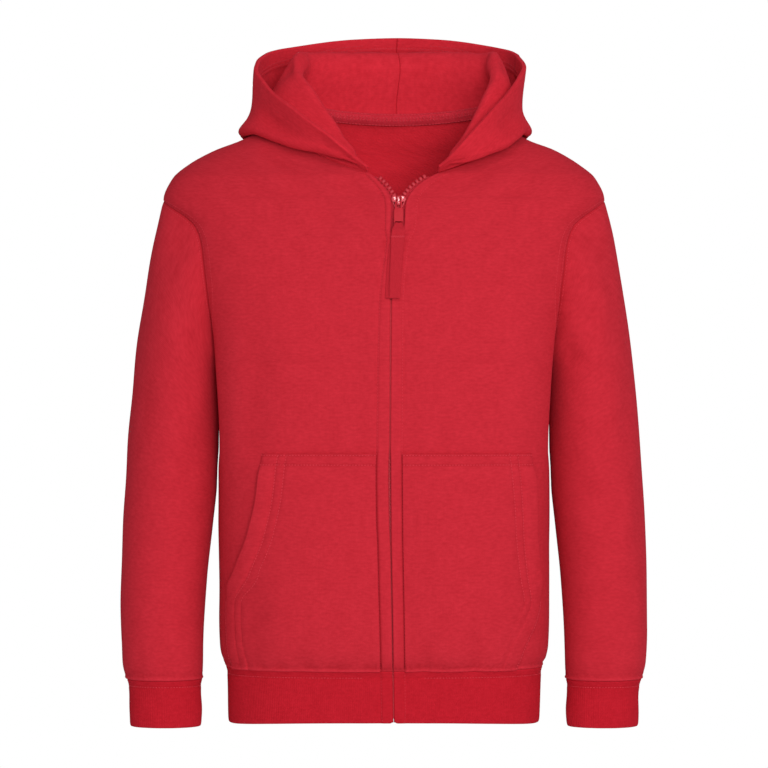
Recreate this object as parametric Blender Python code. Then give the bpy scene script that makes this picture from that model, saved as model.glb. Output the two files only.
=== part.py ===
"""A child's zip-up hoodie, filled out as it is worn, with each cut piece of cloth as its own wall.

Metres, +Z up.  The front faces -Y and the wearer's left is +X.  The origin is where the wearer's
shoulders carry the garment: on the middle plane, level with the base of the neck.
"""

import math

import bmesh
import bpy
import numpy as np
from mathutils import Matrix, Vector

# ---------------------------------------------------------------- driving sizes

FLEECE = 0.0022             # body, sleeves and pockets
HOOD_FLEECE = 0.0028        # the hood is two layers of fleece sewn as one
RIB_KNIT = 0.0026           # cuffs and hem band, to the crests of the ribs
SEAM = 0.0003               # clear space between two pieces that are sewn together

HEM_SEAM_Z = -0.4700        # where the body ends and the hem band begins
HEM_Z = -0.5150             # bottom of the hem band at the front and back
HEM_SIDE_DROP = 0.0040      # how much lower it hangs at the sides
CUFF_SEAM_Z = -0.4810       # where the sleeve ends and the cuff begins
CUFF_Z = -0.5225            # bottom of the cuff
CUFF_WAIST_Z = -0.5050      # where the cuff has drawn in to its own width
NECK_TOP_Z = 0.0220         # where the shoulder seam meets the neck seam
FRONT_NECK_Z = -0.0410      # where the front neck seam meets the zip
POCKET_TOP_Z = -0.2830
ARMHOLE_TOP_Z = -0.0620
ARMHOLE_BOTTOM_Z = -0.2050
ARMHOLE_DEPTH = 0.0500      # half of the armhole, front to back
ARMHOLE_STEPS = 11          # rows of the body along one side of the armhole

RIB_PITCH = 0.0055
RIB_RELIEF = 0.0006
HEM_GIRTH = 0.7600          # what the ribs of the hem band and of a cuff are counted from
CUFF_GIRTH = 0.1550
EDGE_FOLD = 0.0120          # the front edges are turned back along the zip and stitched this far in
EDGE_FOLD_RISE = 0.0009
STITCHED_DIP = 0.0005       # how far the stitching draws the cloth in beside the fold
FRONT_WIDTH = 0.1900        # a front panel narrower than this has its columns drawn together


class Table:
    """Rows of named columns.  A column is read anywhere along the first one, on a smooth curve."""

    def __init__(self, columns, rows):
        rows = np.array(sorted(rows), float)
        self.key = rows[:, 0]
        self.columns = {name: rows[:, i] for i, name in enumerate(columns)}
        self.slopes = {name: self.find_slopes(rows[:, i]) for i, name in enumerate(columns)}

    def find_slopes(self, values):
        step = np.diff(self.key)
        rise = np.diff(values) / step
        slopes = np.zeros(len(values))
        slopes[0], slopes[-1] = rise[0], rise[-1]
        for i in range(1, len(values) - 1):
            if rise[i - 1] * rise[i] > 0:
                before, after = 2 * step[i] + step[i - 1], step[i] + 2 * step[i - 1]
                slopes[i] = (before + after) / (before / rise[i - 1] + after / rise[i])
        return slopes

    def at(self, where, name):
        where = np.clip(where, self.key[0], self.key[-1])
        i = np.clip(np.searchsorted(self.key, where, side="right") - 1, 0, len(self.key) - 2)
        step = self.key[i + 1] - self.key[i]
        t = (where - self.key[i]) / step
        values, slopes = self.columns[name], self.slopes[name]
        return (
            (1 + 2 * t) * (1 - t) ** 2 * values[i]
            + t * (1 - t) ** 2 * step * slopes[i]
            + t * t * (3 - 2 * t) * values[i + 1]
            + t * t * (t - 1) * step * slopes[i + 1]
        )


# Level sections of the body.  tuck is how far the arm presses the side in.
BODY = Table(
    ("z", "half_width", "front", "back", "squareness", "tuck", "shift"),
    [
        (0.0220, 0.0960, 0.0200, 0.0560, 2.1, 0.000, 0.0110),
        (0.0120, 0.1030, 0.0290, 0.0600, 2.1, 0.000, 0.0070),
        (0.0000, 0.1135, 0.0380, 0.0640, 2.2, 0.000, 0.0030),
        (-0.0080, 0.1245, 0.0430, 0.0670, 2.2, 0.000, 0.0010),
        (-0.0180, 0.1495, 0.0490, 0.0700, 2.2, 0.000, 0.0000),
        (-0.0310, 0.1720, 0.0560, 0.0730, 2.3, 0.000, 0.000),
        (-0.0430, 0.1860, 0.0620, 0.0760, 2.3, 0.000, 0.000),
        (-0.0620, 0.1940, 0.0690, 0.0790, 2.4, 0.000, 0.000),
        (-0.0870, 0.1800, 0.0760, 0.0820, 2.6, 0.006, 0.000),
        (-0.1300, 0.1670, 0.0850, 0.0850, 3.1, 0.010, 0.000),
        (-0.1850, 0.1555, 0.0890, 0.0840, 3.3, 0.013, 0.000),
        (-0.2400, 0.1515, 0.0890, 0.0810, 3.3, 0.011, 0.000),
        (-0.3000, 0.1482, 0.0870, 0.0780, 3.1, 0.003, 0.000),
        (-0.3400, 0.1465, 0.0865, 0.0775, 3.0, 0.001, 0.000),
        (-0.3700, 0.1450, 0.0865, 0.0770, 2.9, 0.000, 0.000),
        (-0.4200, 0.1450, 0.0865, 0.0780, 2.9, 0.000, 0.000),
        (-0.4520, 0.1440, 0.0845, 0.0765, 2.9, 0.000, 0.000),
        (-0.4640, 0.1415, 0.0805, 0.0740, 3.0, 0.000, 0.000),
        (-0.4700, 0.1385, 0.0775, 0.0710, 3.1, 0.000, 0.000),
        (-0.4780, 0.1375, 0.0765, 0.0700, 3.1, 0.000, 0.000),
        (-0.5150, 0.1362, 0.0750, 0.0685, 3.1, 0.000, 0.000),
    ],
)
TUCK_NEAR, TUCK_FAR = 0.024, 0.054
BACK_NECK_DIP = 0.0090      # how much lower the back neck seam is in the middle
BACK_NECK_DIP_REACH = 0.050

# The line of the zip, and how far the cloth and the tape of each side stand back from it.
ZIP = Table(
    ("z", "x", "cloth_gap", "tape_gap"),
    [
        (-0.0410, 0.0165, 0.0300, 0.0270),
        (-0.0443, 0.0156, 0.0250, 0.0217),
        (-0.0490, 0.0143, 0.0190, 0.0152),
        (-0.0545, 0.0134, 0.0132, 0.0093),
        (-0.0600, 0.0129, 0.0092, 0.0052),
        (-0.0660, 0.0125, 0.0068, 0.0010),
        (-0.0720, 0.0121, 0.0060, 0.00015),
        (-0.0850, 0.0117, 0.0057, 0.00015),
        (-0.0900, 0.0112, 0.0054, 0.00015),
        (-0.1000, 0.0098, 0.0024, 0.00015),
        (-0.1250, 0.0074, 0.0007, 0.00015),
        (-0.1500, 0.0060, 0.0004, 0.00015),
        (-0.2760, 0.0050, 0.0004, 0.00015),
        (-0.2950, 0.0048, 0.0010, 0.00015),
        (-0.3400, 0.0052, 0.0009, 0.00015),
        (-0.3620, 0.0058, 0.0004, 0.00015),
        (-0.4300, 0.0071, 0.0004, 0.00015),
        (-0.5150, 0.0083, 0.0004, 0.00015),
    ],
)

# The front neck seam, as distances from the middle of the neck.
FRONT_NECK = Table(
    ("z", "half_width", "middle"),
    [
        (-0.0410, 0.0300, 0.0165),
        (-0.0390, 0.0370, 0.0164),
        (-0.0340, 0.0520, 0.0160),
        (-0.0280, 0.0660, 0.0154),
        (-0.0200, 0.0775, 0.0148),
        (-0.0080, 0.0855, 0.0145),
        (0.0070, 0.0885, 0.0145),
        (0.0220, 0.0885, 0.0145),
    ],
)

# Soft troughs of the body: each runs from one point to another in the front (-1) or back view.
TROUGHS = [
    dict(face=-1, start=(-0.096, -0.020), end=(-0.045, -0.082), width=0.011, depth=0.0030),
    dict(face=-1, start=(-0.030, -0.052), end=(-0.010, -0.074), width=0.009, depth=0.0020),
    dict(face=-1, start=(0.136, -0.030), end=(0.098, -0.078), width=0.013, depth=0.0026),
    dict(face=1, start=(-0.130, -0.150), end=(-0.085, -0.260), width=0.018, depth=0.0040),
    dict(face=1, start=(0.132, -0.155), end=(0.082, -0.270), width=0.018, depth=0.0040),
    dict(face=1, start=(-0.060, -0.340), end=(-0.010, -0.372), width=0.016, depth=0.0030),
]

# The sleeve, between its outer line and its underarm line.
SLEEVE = Table(
    ("step", "outer_x", "outer_z", "inner_x", "inner_z", "half_depth", "middle_y"),
    [
        (0.00, 0.1940, -0.0620, 0.1420, -0.2050, 0.0500, 0.000),
        (0.08, 0.2020, -0.0960, 0.1440, -0.2120, 0.0560, -0.001),
        (0.18, 0.2095, -0.1400, 0.1445, -0.2240, 0.0560, -0.002),
        (0.30, 0.2170, -0.1900, 0.1450, -0.2450, 0.0530, -0.003),
        (0.42, 0.2222, -0.2420, 0.1452, -0.2760, 0.0495, -0.004),
        (0.54, 0.2258, -0.2920, 0.1465, -0.3100, 0.0460, -0.006),
        (0.66, 0.2288, -0.3420, 0.1505, -0.3500, 0.0425, -0.009),
        (0.78, 0.2303, -0.3920, 0.1550, -0.3940, 0.0390, -0.013),
        (0.90, 0.2305, -0.4380, 0.1576, -0.4380, 0.0360, -0.016),
        (0.96, 0.2290, -0.4660, 0.1582, -0.4660, 0.0345, -0.018),
        (1.00, 0.2256, -0.4810, 0.1588, -0.4810, 0.0320, -0.018),
    ],
)
SLEEVE_STEPS = (0, 0.05, 0.11, 0.19, 0.29, 0.40, 0.51, 0.61, 0.71, 0.81, 0.90, 0.96, 1.0)
SLEEVE_CLEARANCE = 0.0015   # from the side of the body
SLEEVE_BLEND = 0.22         # how far down the sleeve keeps something of the armhole's shape
CUFF = Table(
    ("z", "outer_x", "inner_x", "half_depth", "middle_y"),
    [
        (-0.5225, 0.2222, 0.1598, 0.0245, -0.019),
        (-0.5050, 0.2230, 0.1590, 0.0255, -0.019),
        (-0.4810, 0.2250, 0.1590, 0.0300, -0.018),
    ],
)

# The hood lies open on the shoulders.  From the neck seam it stands up to a crest, rolls out and
# down to a fold, and comes up again to its front edge.  Each half runs from zip to centre back, and
# on to the first row past it.  shift is the same for both halves; roll and turn are the half widths
# of the bends.
HOOD_CREST = Table(
    ("along", "x", "y", "z", "shift", "roll"),
    [
        (0.00, 0.0305, -0.0650, -0.0385, 0.0165, 0.0015),
        (0.15, 0.0465, -0.0560, -0.0185, 0.0168, 0.0030),
        (0.30, 0.0608, -0.0450, 0.0021, 0.0164, 0.0045),
        (0.42, 0.0772, -0.0270, 0.0307, 0.0143, 0.0060),
        (0.52, 0.0892, -0.0040, 0.0540, 0.0108, 0.0070),
        (0.65, 0.0860, 0.0280, 0.0700, 0.0116, 0.0090),
        (0.80, 0.0560, 0.0550, 0.0730, 0.0120, 0.0120),
        (0.90, 0.0290, 0.0630, 0.0735, 0.0120, 0.0130),
        (1.00, 0.0000, 0.0660, 0.0735, 0.0120, 0.0130),
        (1.10, -0.0290, 0.0630, 0.0735, 0.0120, 0.0130),
    ],
)
HOOD_FOLD = Table(
    ("along", "x", "y", "z", "shift", "turn", "pinch"),
    [
        (0.00, 0.0308, -0.0665, -0.0382, 0.0165, 0.0015, 0.0000),
        (0.15, 0.0565, -0.0665, -0.0292, 0.0225, 0.0035, 0.0000),
        (0.30, 0.0850, -0.0550, -0.0205, 0.0160, 0.0045, 0.0005),
        (0.42, 0.1070, -0.0360, -0.0106, 0.0080, 0.0045, 0.0015),
        (0.47, 0.1185, -0.0190, -0.0040, 0.0030, 0.0035, 0.0030),
        (0.52, 0.1255, 0.0020, -0.0042, 0.0010, 0.0028, 0.0045),
        (0.58, 0.1245, 0.0240, -0.0052, 0.0010, 0.0035, 0.0040),
        (0.65, 0.1150, 0.0540, -0.0110, 0.0020, 0.0070, 0.0020),
        (0.80, 0.0850, 0.1000, -0.0600, 0.0010, 0.0120, 0.0000),
        (0.90, 0.0460, 0.1140, -0.0860, 0.0010, 0.0140, 0.0000),
        (1.00, 0.0000, 0.1180, -0.0930, 0.0010, 0.0150, 0.0000),
        (1.10, -0.0460, 0.1140, -0.0860, 0.0010, 0.0140, 0.0000),
    ],
)
HOOD_EDGE = Table(
    ("along", "x", "y", "z", "shift"),
    [
        (0.00, 0.0313, -0.0675, -0.0368, 0.0166),
        (0.15, 0.0530, -0.0755, -0.0165, 0.0140),
        (0.30, 0.0835, -0.0600, 0.0120, 0.0085),
        (0.42, 0.1045, -0.0330, 0.0330, 0.0055),
        (0.52, 0.1185, 0.0000, 0.0560, 0.0052),
        (0.65, 0.1120, 0.0500, 0.0725, 0.0062),
        (0.80, 0.0790, 0.0900, 0.0840, 0.0095),
        (0.90, 0.0400, 0.1060, 0.0903, 0.0110),
        (1.00, 0.0000, 0.1120, 0.0923, 0.0120),
        (1.10, -0.0400, 0.1060, 0.0903, 0.0110),
    ],
)
HOOD_SPANS = (1, 3, 2, 2, 4, 2, 2, 2, 2)    # rows between the points that its section runs through
HOOD_CORNER = 0.12          # along the neck seam, where the corner at the zip has taken its full fold
HOOD_CORNER_THINNING = 0.3  # share of the wall's thickness that is pressed out of that corner
HOOD_START = 0.0007         # from the neck seam up to the hood's first row
HOOD_STAND = 0.3            # share of the way to the crest that it rises straight up
HOOD_LEAST_STAND = 0.0010
HOOD_BEND_SQUASH = 0.9      # the bends are a little narrower than they are high
HOOD_WAIST = 0.34           # share of the way from the fold to the edge where the wall has drawn in again

# Each pocket's width, as a length of cloth from the front edge.  The slant in it is the opening.
POCKET = Table(
    ("z", "left", "right"),
    [
        (-0.2830, 0.1246, 0.1098),
        (-0.3180, 0.1282, 0.1138),
        (-0.3500, 0.1300, 0.1220),
        (-0.3850, 0.1335, 0.1385),
        (-0.4110, 0.1378, 0.1545),
        (-0.4280, 0.1319, 0.1550),
        (-0.4480, 0.1195, 0.1540),
        (-0.4700, 0.1085, 0.1490),
    ],
)
POCKET_BELLY = 0.0040       # how far the pocket stands off the panel in its middle

NECK_TAPE_HEIGHT = 0.0110
NECK_TAPE = 0.0010

TAPE = 0.0009               # zip tape
TAPE_WIDTH = 0.0130
BEAD = 0.0024               # one side's row of teeth, in width and depth
SLIDER_Z = -0.0660
PULL_PIVOT = (0.0, -0.0016, 0.00045)    # from the middle of the slider's top plate's plane

RED = (0.560, 0.023, 0.042, 1)
RED_RIB = (0.500, 0.018, 0.034, 1)
RED_ZIP = (0.600, 0.030, 0.050, 1)


# ---------------------------------------------------------------- the body's surface


def unit(vectors):
    return vectors / np.maximum(np.linalg.norm(vectors, axis=-1, keepdims=True), 1e-12)


def power(value, exponent):
    return np.sign(value) * np.abs(value) ** exponent


def ease(value, low, high):
    """1 below the low value, 0 above the high one, and smooth between."""
    t = np.clip((value - low) / (high - low), 0, 1)
    return 1 - t * t * (3 - 2 * t)


def armhole_half_depth(z):
    """Half of the armhole's opening, front to back, at a height; 0 above and below it."""
    middle = (ARMHOLE_TOP_Z + ARMHOLE_BOTTOM_Z) / 2
    half = (ARMHOLE_TOP_Z - ARMHOLE_BOTTOM_Z) / 2
    return ARMHOLE_DEPTH * np.sqrt(np.clip(1 - ((z - middle) / half) ** 2, 0, 1))


def side_x(y, z):
    """The distance of the body's side from the middle plane."""
    depth = np.where(y > 0, BODY.at(z, "back"), BODY.at(z, "front"))
    squareness = BODY.at(z, "squareness")
    share = np.clip(np.abs(y) / depth, 0, 1)
    x = BODY.at(z, "half_width") * (1 - share ** squareness) ** (1 / squareness)
    return x - BODY.at(z, "tuck") * ease(np.abs(y), TUCK_NEAR, TUCK_FAR)


def trough_depth(x, z, face):
    """How far the troughs draw a point of the front (-1) or back (1) inwards."""
    depth = np.zeros_like(x)
    for trough in TROUGHS:
        if trough["face"] != face:
            continue
        start, end = np.array(trough["start"]), np.array(trough["end"])
        line = end - start
        along = np.clip(((x - start[0]) * line[0] + (z - start[1]) * line[1]) / (line @ line), 0, 1)
        away = np.hypot(x - start[0] - along * line[0], z - start[1] - along * line[1])
        depth += trough["depth"] * np.exp(-((away / trough["width"]) ** 2))
    return depth


def body_point(turn, z):
    """The body's outer surface.  turn is 0 at the wearer's left side, 90 degrees at the back."""
    turn, z = np.broadcast_arrays(np.asarray(turn, float), np.asarray(z, float))
    exponent = 2 / BODY.at(z, "squareness")
    across, deep = np.cos(turn), np.sin(turn)
    depth = np.where(deep > 0, BODY.at(z, "back"), BODY.at(z, "front"))
    x = BODY.at(z, "half_width") * power(across, exponent)
    y = depth * power(deep, exponent)
    tuck = BODY.at(z, "tuck") * ease(np.abs(y), TUCK_NEAR, TUCK_FAR)
    x = x - tuck * np.clip(across * 4, -1, 1) + BODY.at(z, "shift")
    share = np.clip(np.abs(y) / depth, 0, 1)
    y = y - np.sign(y) * share * np.where(deep > 0, trough_depth(x, z, 1), trough_depth(x, z, -1))
    rise = np.clip(1 - (NECK_TOP_Z - z) / BACK_NECK_DIP_REACH, 0, 1)
    z = z - BACK_NECK_DIP * rise * np.clip(deep, 0, 1) ** 2
    return np.stack([x, y, z], axis=-1)


def body_normal(turn, z):
    """The outward direction of the body's surface."""
    small_turn, small_z = 0.010, 0.0015
    around = body_point(turn + small_turn, z) - body_point(turn - small_turn, z)
    up = body_point(turn, z + small_z) - body_point(turn, z - small_z)
    return unit(np.cross(around, up))


class Girth:
    """One level of the body between two turns, read by the length of cloth from its start."""

    def __init__(self, z, start, end, samples=500):
        self.turns = np.linspace(start, end, samples)
        self.points = body_point(self.turns, z)
        steps = np.linalg.norm(np.diff(self.points, axis=0), axis=1)
        self.lengths = np.concatenate([[0], np.cumsum(steps)])
        self.total = self.lengths[-1]

    def turn_at(self, length):
        return np.interp(length, self.lengths, self.turns)

    def first(self, found):
        """The length at which a condition on the points first holds."""
        return self.lengths[int(np.argmax(found))]


def zip_turn(z):
    """Where the line of the zip lies on a level of the body."""
    sweep = np.linspace(-math.pi / 2 - 0.9, -math.pi / 2 + 0.9, 721)
    return np.interp(ZIP.at(z, "x"), body_point(sweep, z)[:, 0], sweep)


def front_girth(z, side):
    """From the line of the zip round the front to one side; +1 is the wearer's left."""
    return Girth(z, zip_turn(z), 0.0 if side > 0 else -math.pi)


def armhole_rows():
    """Heights of the rows that end on the armhole, top first."""
    middle = (ARMHOLE_TOP_Z + ARMHOLE_BOTTOM_Z) / 2
    half = (ARMHOLE_TOP_Z - ARMHOLE_BOTTOM_Z) / 2
    return [middle + half * math.cos(math.pi * i / ARMHOLE_STEPS) for i in range(ARMHOLE_STEPS + 1)]


LOWER_ROWS = [HEM_SEAM_Z + SEAM / 2, -0.4640, -0.4480, -0.4280, -0.4110, -0.3850, -0.3500, -0.3180,
              POCKET_TOP_Z, -0.2550, -0.2250]
FRONT_UPPER_ROWS = [-0.0545, -0.0490, -0.0443, FRONT_NECK_Z, -0.0390, -0.0340, -0.0280, -0.0200,
                    -0.0080, 0.0070, NECK_TOP_Z]
BACK_UPPER_ROWS = [-0.0490, -0.0340, -0.0180, -0.0080, 0.0070, NECK_TOP_Z]
BODY_ROWS = LOWER_ROWS + armhole_rows()[::-1]


# ---------------------------------------------------------------- walls


def make_object(name, bm, colour, roughness=0.9, metallic=0.0):
    """A mesh object with its own material."""
    mesh = bpy.data.meshes.new(name)
    bm.to_mesh(mesh)
    bm.free()
    mesh.shade_smooth()
    mesh.set_sharp_from_angle(angle=math.radians(40))
    material = bpy.data.materials.new(name)
    material.use_nodes = True
    shader = material.node_tree.nodes["Principled BSDF"]
    shader.inputs["Base Color"].default_value = colour
    shader.inputs["Roughness"].default_value = roughness
    shader.inputs["Metallic"].default_value = metallic
    material.diffuse_color = colour
    mesh.materials.append(material)
    obj = bpy.data.objects.new(name, mesh)
    bpy.context.scene.collection.objects.link(obj)
    return obj


def wall(outer, inner, ring=False):
    """A closed wall between two grids of points, rows by columns.  A ring joins its last column
    to its first."""
    bm = bmesh.new()
    rows, columns = outer.shape[:2]
    out, back = ([[bm.verts.new(p) for p in row] for row in grid] for grid in (outer, inner))
    spans = [(j, (j + 1) % columns) for j in range(columns if ring else columns - 1)]
    for i in range(rows - 1):
        for j, k in spans:
            bm.faces.new([out[i][j], out[i][k], out[i + 1][k], out[i + 1][j]])
            bm.faces.new([back[i][j], back[i + 1][j], back[i + 1][k], back[i][k]])
    for j, k in spans:
        bm.faces.new([out[0][k], out[0][j], back[0][j], back[0][k]])
        bm.faces.new([out[-1][j], out[-1][k], back[-1][k], back[-1][j]])
    if not ring:
        for i in range(rows - 1):
            bm.faces.new([out[i][0], out[i + 1][0], back[i + 1][0], back[i][0]])
            bm.faces.new([out[i + 1][-1], out[i][-1], back[i][-1], back[i + 1][-1]])
    bmesh.ops.recalc_face_normals(bm, faces=bm.faces)
    return bm


def level(normals):
    """The same directions without their rise, so that a wall ends on a level plane."""
    return unit(normals * (1, 1, 0))


def grid_normals(grid, ring=False):
    """Outward directions of a grid whose rows go up and whose columns go anticlockwise from above."""
    around = np.roll(grid, -1, axis=1) - np.roll(grid, 1, axis=1) if ring else np.gradient(grid, axis=1)
    return unit(np.cross(around, np.gradient(grid, axis=0)))


# ---------------------------------------------------------------- body panels

# Lengths of cloth from the front edge: across the turned-back fold, with the stitched line at its end.
EDGE_COLUMNS = np.array([0.0, 0.0060, 0.0110, 0.0120, 0.0130])
POCKET_COLUMNS = 6
SIDE_COLUMNS = 6
BACK_COLUMNS = 17
BACK_SIDE_COLUMNS = 3       # of them on each side, up to where the arm no longer presses it in
BACK_CORNER_SHARE = 0.15    # the most of the panel's width that they take
BACK_CORNER_LEAST = 0.006


def edge_fold_rise(z):
    """How much the turned-back front edge stands up; more where it covers the pocket's edge."""
    over_pocket = ease(z, POCKET_TOP_Z, POCKET_TOP_Z + 0.010) * ease(-z, -HEM_SEAM_Z - 0.004, -HEM_SEAM_Z)
    return EDGE_FOLD_RISE + (FLEECE + SEAM - EDGE_FOLD_RISE + 0.0004) * over_pocket


def front_edge(z, side):
    """A level of the front panel, with the lengths at which the panel starts and ends."""
    girth = front_girth(z, side)
    if z < FRONT_NECK_Z - 1e-6:
        start = ZIP.at(z, "cloth_gap")
    else:
        start = girth.first(side * (girth.points[:, 0] - FRONT_NECK.at(z, "middle")) >= FRONT_NECK.at(z, "half_width"))
    end = girth.total
    opening = armhole_half_depth(z)
    if opening > 0:
        end = girth.first((np.abs(girth.points[:, 1]) <= opening) & (side * girth.points[:, 0] > 0.1))
    return girth, start, end


def front_panel(side):
    """The turn, height and rise of each point of a front panel, row by row from the hem."""
    turns, heights, rises = [], [], []
    for z in BODY_ROWS + FRONT_UPPER_ROWS:
        girth, start, end = front_edge(z, side)
        end -= SEAM / 2
        fit = min(1.0, (end - start) / FRONT_WIDTH)
        folded = z < FRONT_NECK_Z - 1e-6
        near = start + EDGE_COLUMNS * (1.0 if folded else max(fit, 0.05))
        reach = near[-1] + (POCKET.at(z, "left" if side > 0 else "right") - EDGE_COLUMNS[-1]) * fit
        pocket = np.linspace(near[-1], reach, POCKET_COLUMNS + 1)[1:]
        far = np.linspace(reach, end, SIDE_COLUMNS + 1)[1:]
        turns.append(girth.turn_at(np.concatenate([near, pocket, far])))
        heights.append(np.full(len(turns[-1]), z))
        rise = edge_fold_rise(z) if folded else 0.0
        rises.append([rise, rise, rise, -STITCHED_DIP if folded else 0.0] + [0.0] * (len(turns[-1]) - 4))
    return np.array(turns), np.array(heights), np.array(rises)


def panel_points(turns, heights):
    """The points of a panel and its outward directions, level along the hem seam."""
    points, normals = body_point(turns, heights), body_normal(turns, heights)
    normals[0] = level(normals[0])
    return points, normals


def build_fronts():
    for name, side in (("front_left", 1), ("front_right", -1)):
        turns, heights, rises = front_panel(side)
        points, normals = panel_points(turns, heights)
        outer, inner = points + normals * rises[..., None], points - normals * FLEECE
        make_object(name, wall(outer, inner), RED)


def back_panel():
    """The turn and height of each point of the back, row by row from the hem."""
    turns, heights = [], []
    for z in BODY_ROWS + BACK_UPPER_ROWS:
        girth = Girth(z, 0.0, math.pi)
        start = SEAM / 2
        opening = armhole_half_depth(z)
        if opening > 0:
            start += girth.first(girth.points[:, 1] >= opening)
        corner = BACK_CORNER_SHARE * girth.total
        past_tuck = girth.points[:, 1] >= TUCK_FAR
        if past_tuck.any():
            corner = max(min(corner, girth.first(past_tuck)), start + BACK_CORNER_LEAST)
        side = np.linspace(start, corner, BACK_SIDE_COLUMNS + 1)[:-1]
        middle = np.linspace(corner, girth.total - corner, BACK_COLUMNS - 2 * BACK_SIDE_COLUMNS)
        turns.append(girth.turn_at(np.concatenate([side, middle, girth.total - side[::-1]])))
        heights.append(np.full(BACK_COLUMNS, z))
    return np.array(turns), np.array(heights)


def build_back():
    points, normals = panel_points(*back_panel())
    make_object("back", wall(points, points - normals * FLEECE), RED)


def build_pockets():
    """Each pocket is the part of its front panel between the stitched line and its own outer edge,
    moved out."""
    rows = LOWER_ROWS.index(POCKET_TOP_Z) + 1
    first = len(EDGE_COLUMNS) - 1
    for name, side in (("pocket_left", 1), ("pocket_right", -1)):
        turns, heights, _ = front_panel(side)
        turns = turns[:rows, first:first + POCKET_COLUMNS + 1]
        heights = heights[:rows, first:first + POCKET_COLUMNS + 1]
        points, normals = panel_points(turns, heights)
        up, across = np.linspace(0, 1, rows)[:, None], np.linspace(0, 1, POCKET_COLUMNS + 1)[None]
        belly = POCKET_BELLY * np.sin(math.pi * np.clip(up, 0, 1)) * np.sin(math.pi * across ** 0.8)
        stand_off = (SEAM + belly)[..., None]
        make_object(name, wall(points + normals * (stand_off + FLEECE), points + normals * stand_off), RED)


# ---------------------------------------------------------------- sleeves and cuffs


def armhole_loop(side):
    """Points on the body round one armhole, and the body's outward directions there: from the top
    down the front, and up the back."""
    points, normals = [], []
    rows = armhole_rows()
    for z in rows:
        girth, _, end = front_edge(z, side)
        points.append(body_point(girth.turn_at(end), z))
        normals.append(body_normal(girth.turn_at(end), z))
    for z in rows[-2:0:-1]:
        girth = Girth(z, 0.0, math.pi) if side > 0 else Girth(z, math.pi, 0.0)
        turn = girth.turn_at(girth.first(girth.points[:, 1] >= armhole_half_depth(z)))
        points.append(body_point(turn, z))
        normals.append(body_normal(turn, z))
    return np.array(points), np.array(normals)


def tube_ring(side, angles, outer_x, outer_z, inner_x, inner_z, half_depth, middle_y):
    """An ellipse between an outer point and an inner one, starting at the outer point and going
    round by the front."""
    across = np.cos(angles)
    return np.stack(
        [
            side * ((outer_x + inner_x) / 2 + (outer_x - inner_x) / 2 * across),
            middle_y - half_depth * np.sin(angles),
            (outer_z + inner_z) / 2 + (outer_z - inner_z) / 2 * across,
        ],
        axis=-1,
    )


def sleeve_ring(step, side, angles):
    return tube_ring(side, angles, *(SLEEVE.at(step, name) for name in list(SLEEVE.columns)[1:]))


def upwards_grid(rings, side):
    """Rings listed downwards and clockwise, put in the order that grid_normals expects."""
    return np.array(rings)[::-1, ::-1] if side > 0 else np.array(rings)[::-1]


def build_sleeves():
    angles = np.linspace(0, 2 * math.pi, 2 * ARMHOLE_STEPS, endpoint=False)
    for name, side in (("sleeve_left", 1), ("sleeve_right", -1)):
        loop, body_normals = armhole_loop(side)
        away = loop - sleeve_ring(0.0, side, angles)
        rings = []
        for step in SLEEVE_STEPS:
            fade = max(0.0, 1 - step / SLEEVE_BLEND) ** 2
            ring = sleeve_ring(step, side, angles) + fade * away
            if step > 0:
                clear = side_x(ring[:, 1], ring[:, 2]) + SLEEVE_CLEARANCE * min(1.0, step / 0.05)
                ring[:, 0] = side * np.maximum(side * ring[:, 0], clear)
            rings.append(ring)
        rings[-1][:, 2] += SEAM / 2
        grid = upwards_grid(rings, side)
        normals = grid_normals(grid, ring=True)
        normals[0] = level(normals[0])
        inner = grid - normals * FLEECE
        leave = unit(grid[-2] - grid[-1])
        body = body_normals[::-1] if side > 0 else body_normals
        convex = (np.sum(leave * body, axis=-1) < 0)[:, None]
        mitre = (normals[-1] + body) / np.maximum(1 + np.sum(normals[-1] * body, axis=-1), 0.6)[:, None]
        inner[-1] = grid[-1] - FLEECE * np.where(convex, mitre, normals[-1])
        for sheet in (grid, inner):
            sheet[-1] += leave * SEAM / 2
        make_object(name, wall(grid, inner, ring=True), RED)


def build_cuffs():
    for name, side in (("cuff_left", 1), ("cuff_right", -1)):
        heights = (CUFF_SEAM_Z - SEAM / 2, CUFF_WAIST_Z, CUFF_Z)
        fine = np.linspace(0, 2 * math.pi, 2000)
        rings = []
        for z in heights:
            outer_x, inner_x, half_depth, middle_y = (
                CUFF.at(z, part) for part in ("outer_x", "inner_x", "half_depth", "middle_y"))
            curve = tube_ring(side, fine, outer_x, z, inner_x, z, half_depth, middle_y)
            steps = np.linalg.norm(np.diff(curve, axis=0), axis=1)
            lengths = np.concatenate([[0], np.cumsum(steps)]) / np.sum(steps)
            ribs = round(CUFF_GIRTH / RIB_PITCH)
            shares = np.linspace(0, 1, 2 * ribs, endpoint=False)
            rings.append(np.stack([np.interp(shares, lengths, curve[:, k]) for k in range(3)], axis=-1))
        grid = upwards_grid(rings, side)
        normals = level(grid_normals(grid, ring=True))
        order = np.arange(grid.shape[1])
        valley = (order % 2 == 0)[None, :, None]
        outer = grid - normals * RIB_RELIEF * valley
        make_object(name, wall(outer, grid - normals * RIB_KNIT, ring=True), RED_RIB)


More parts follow.
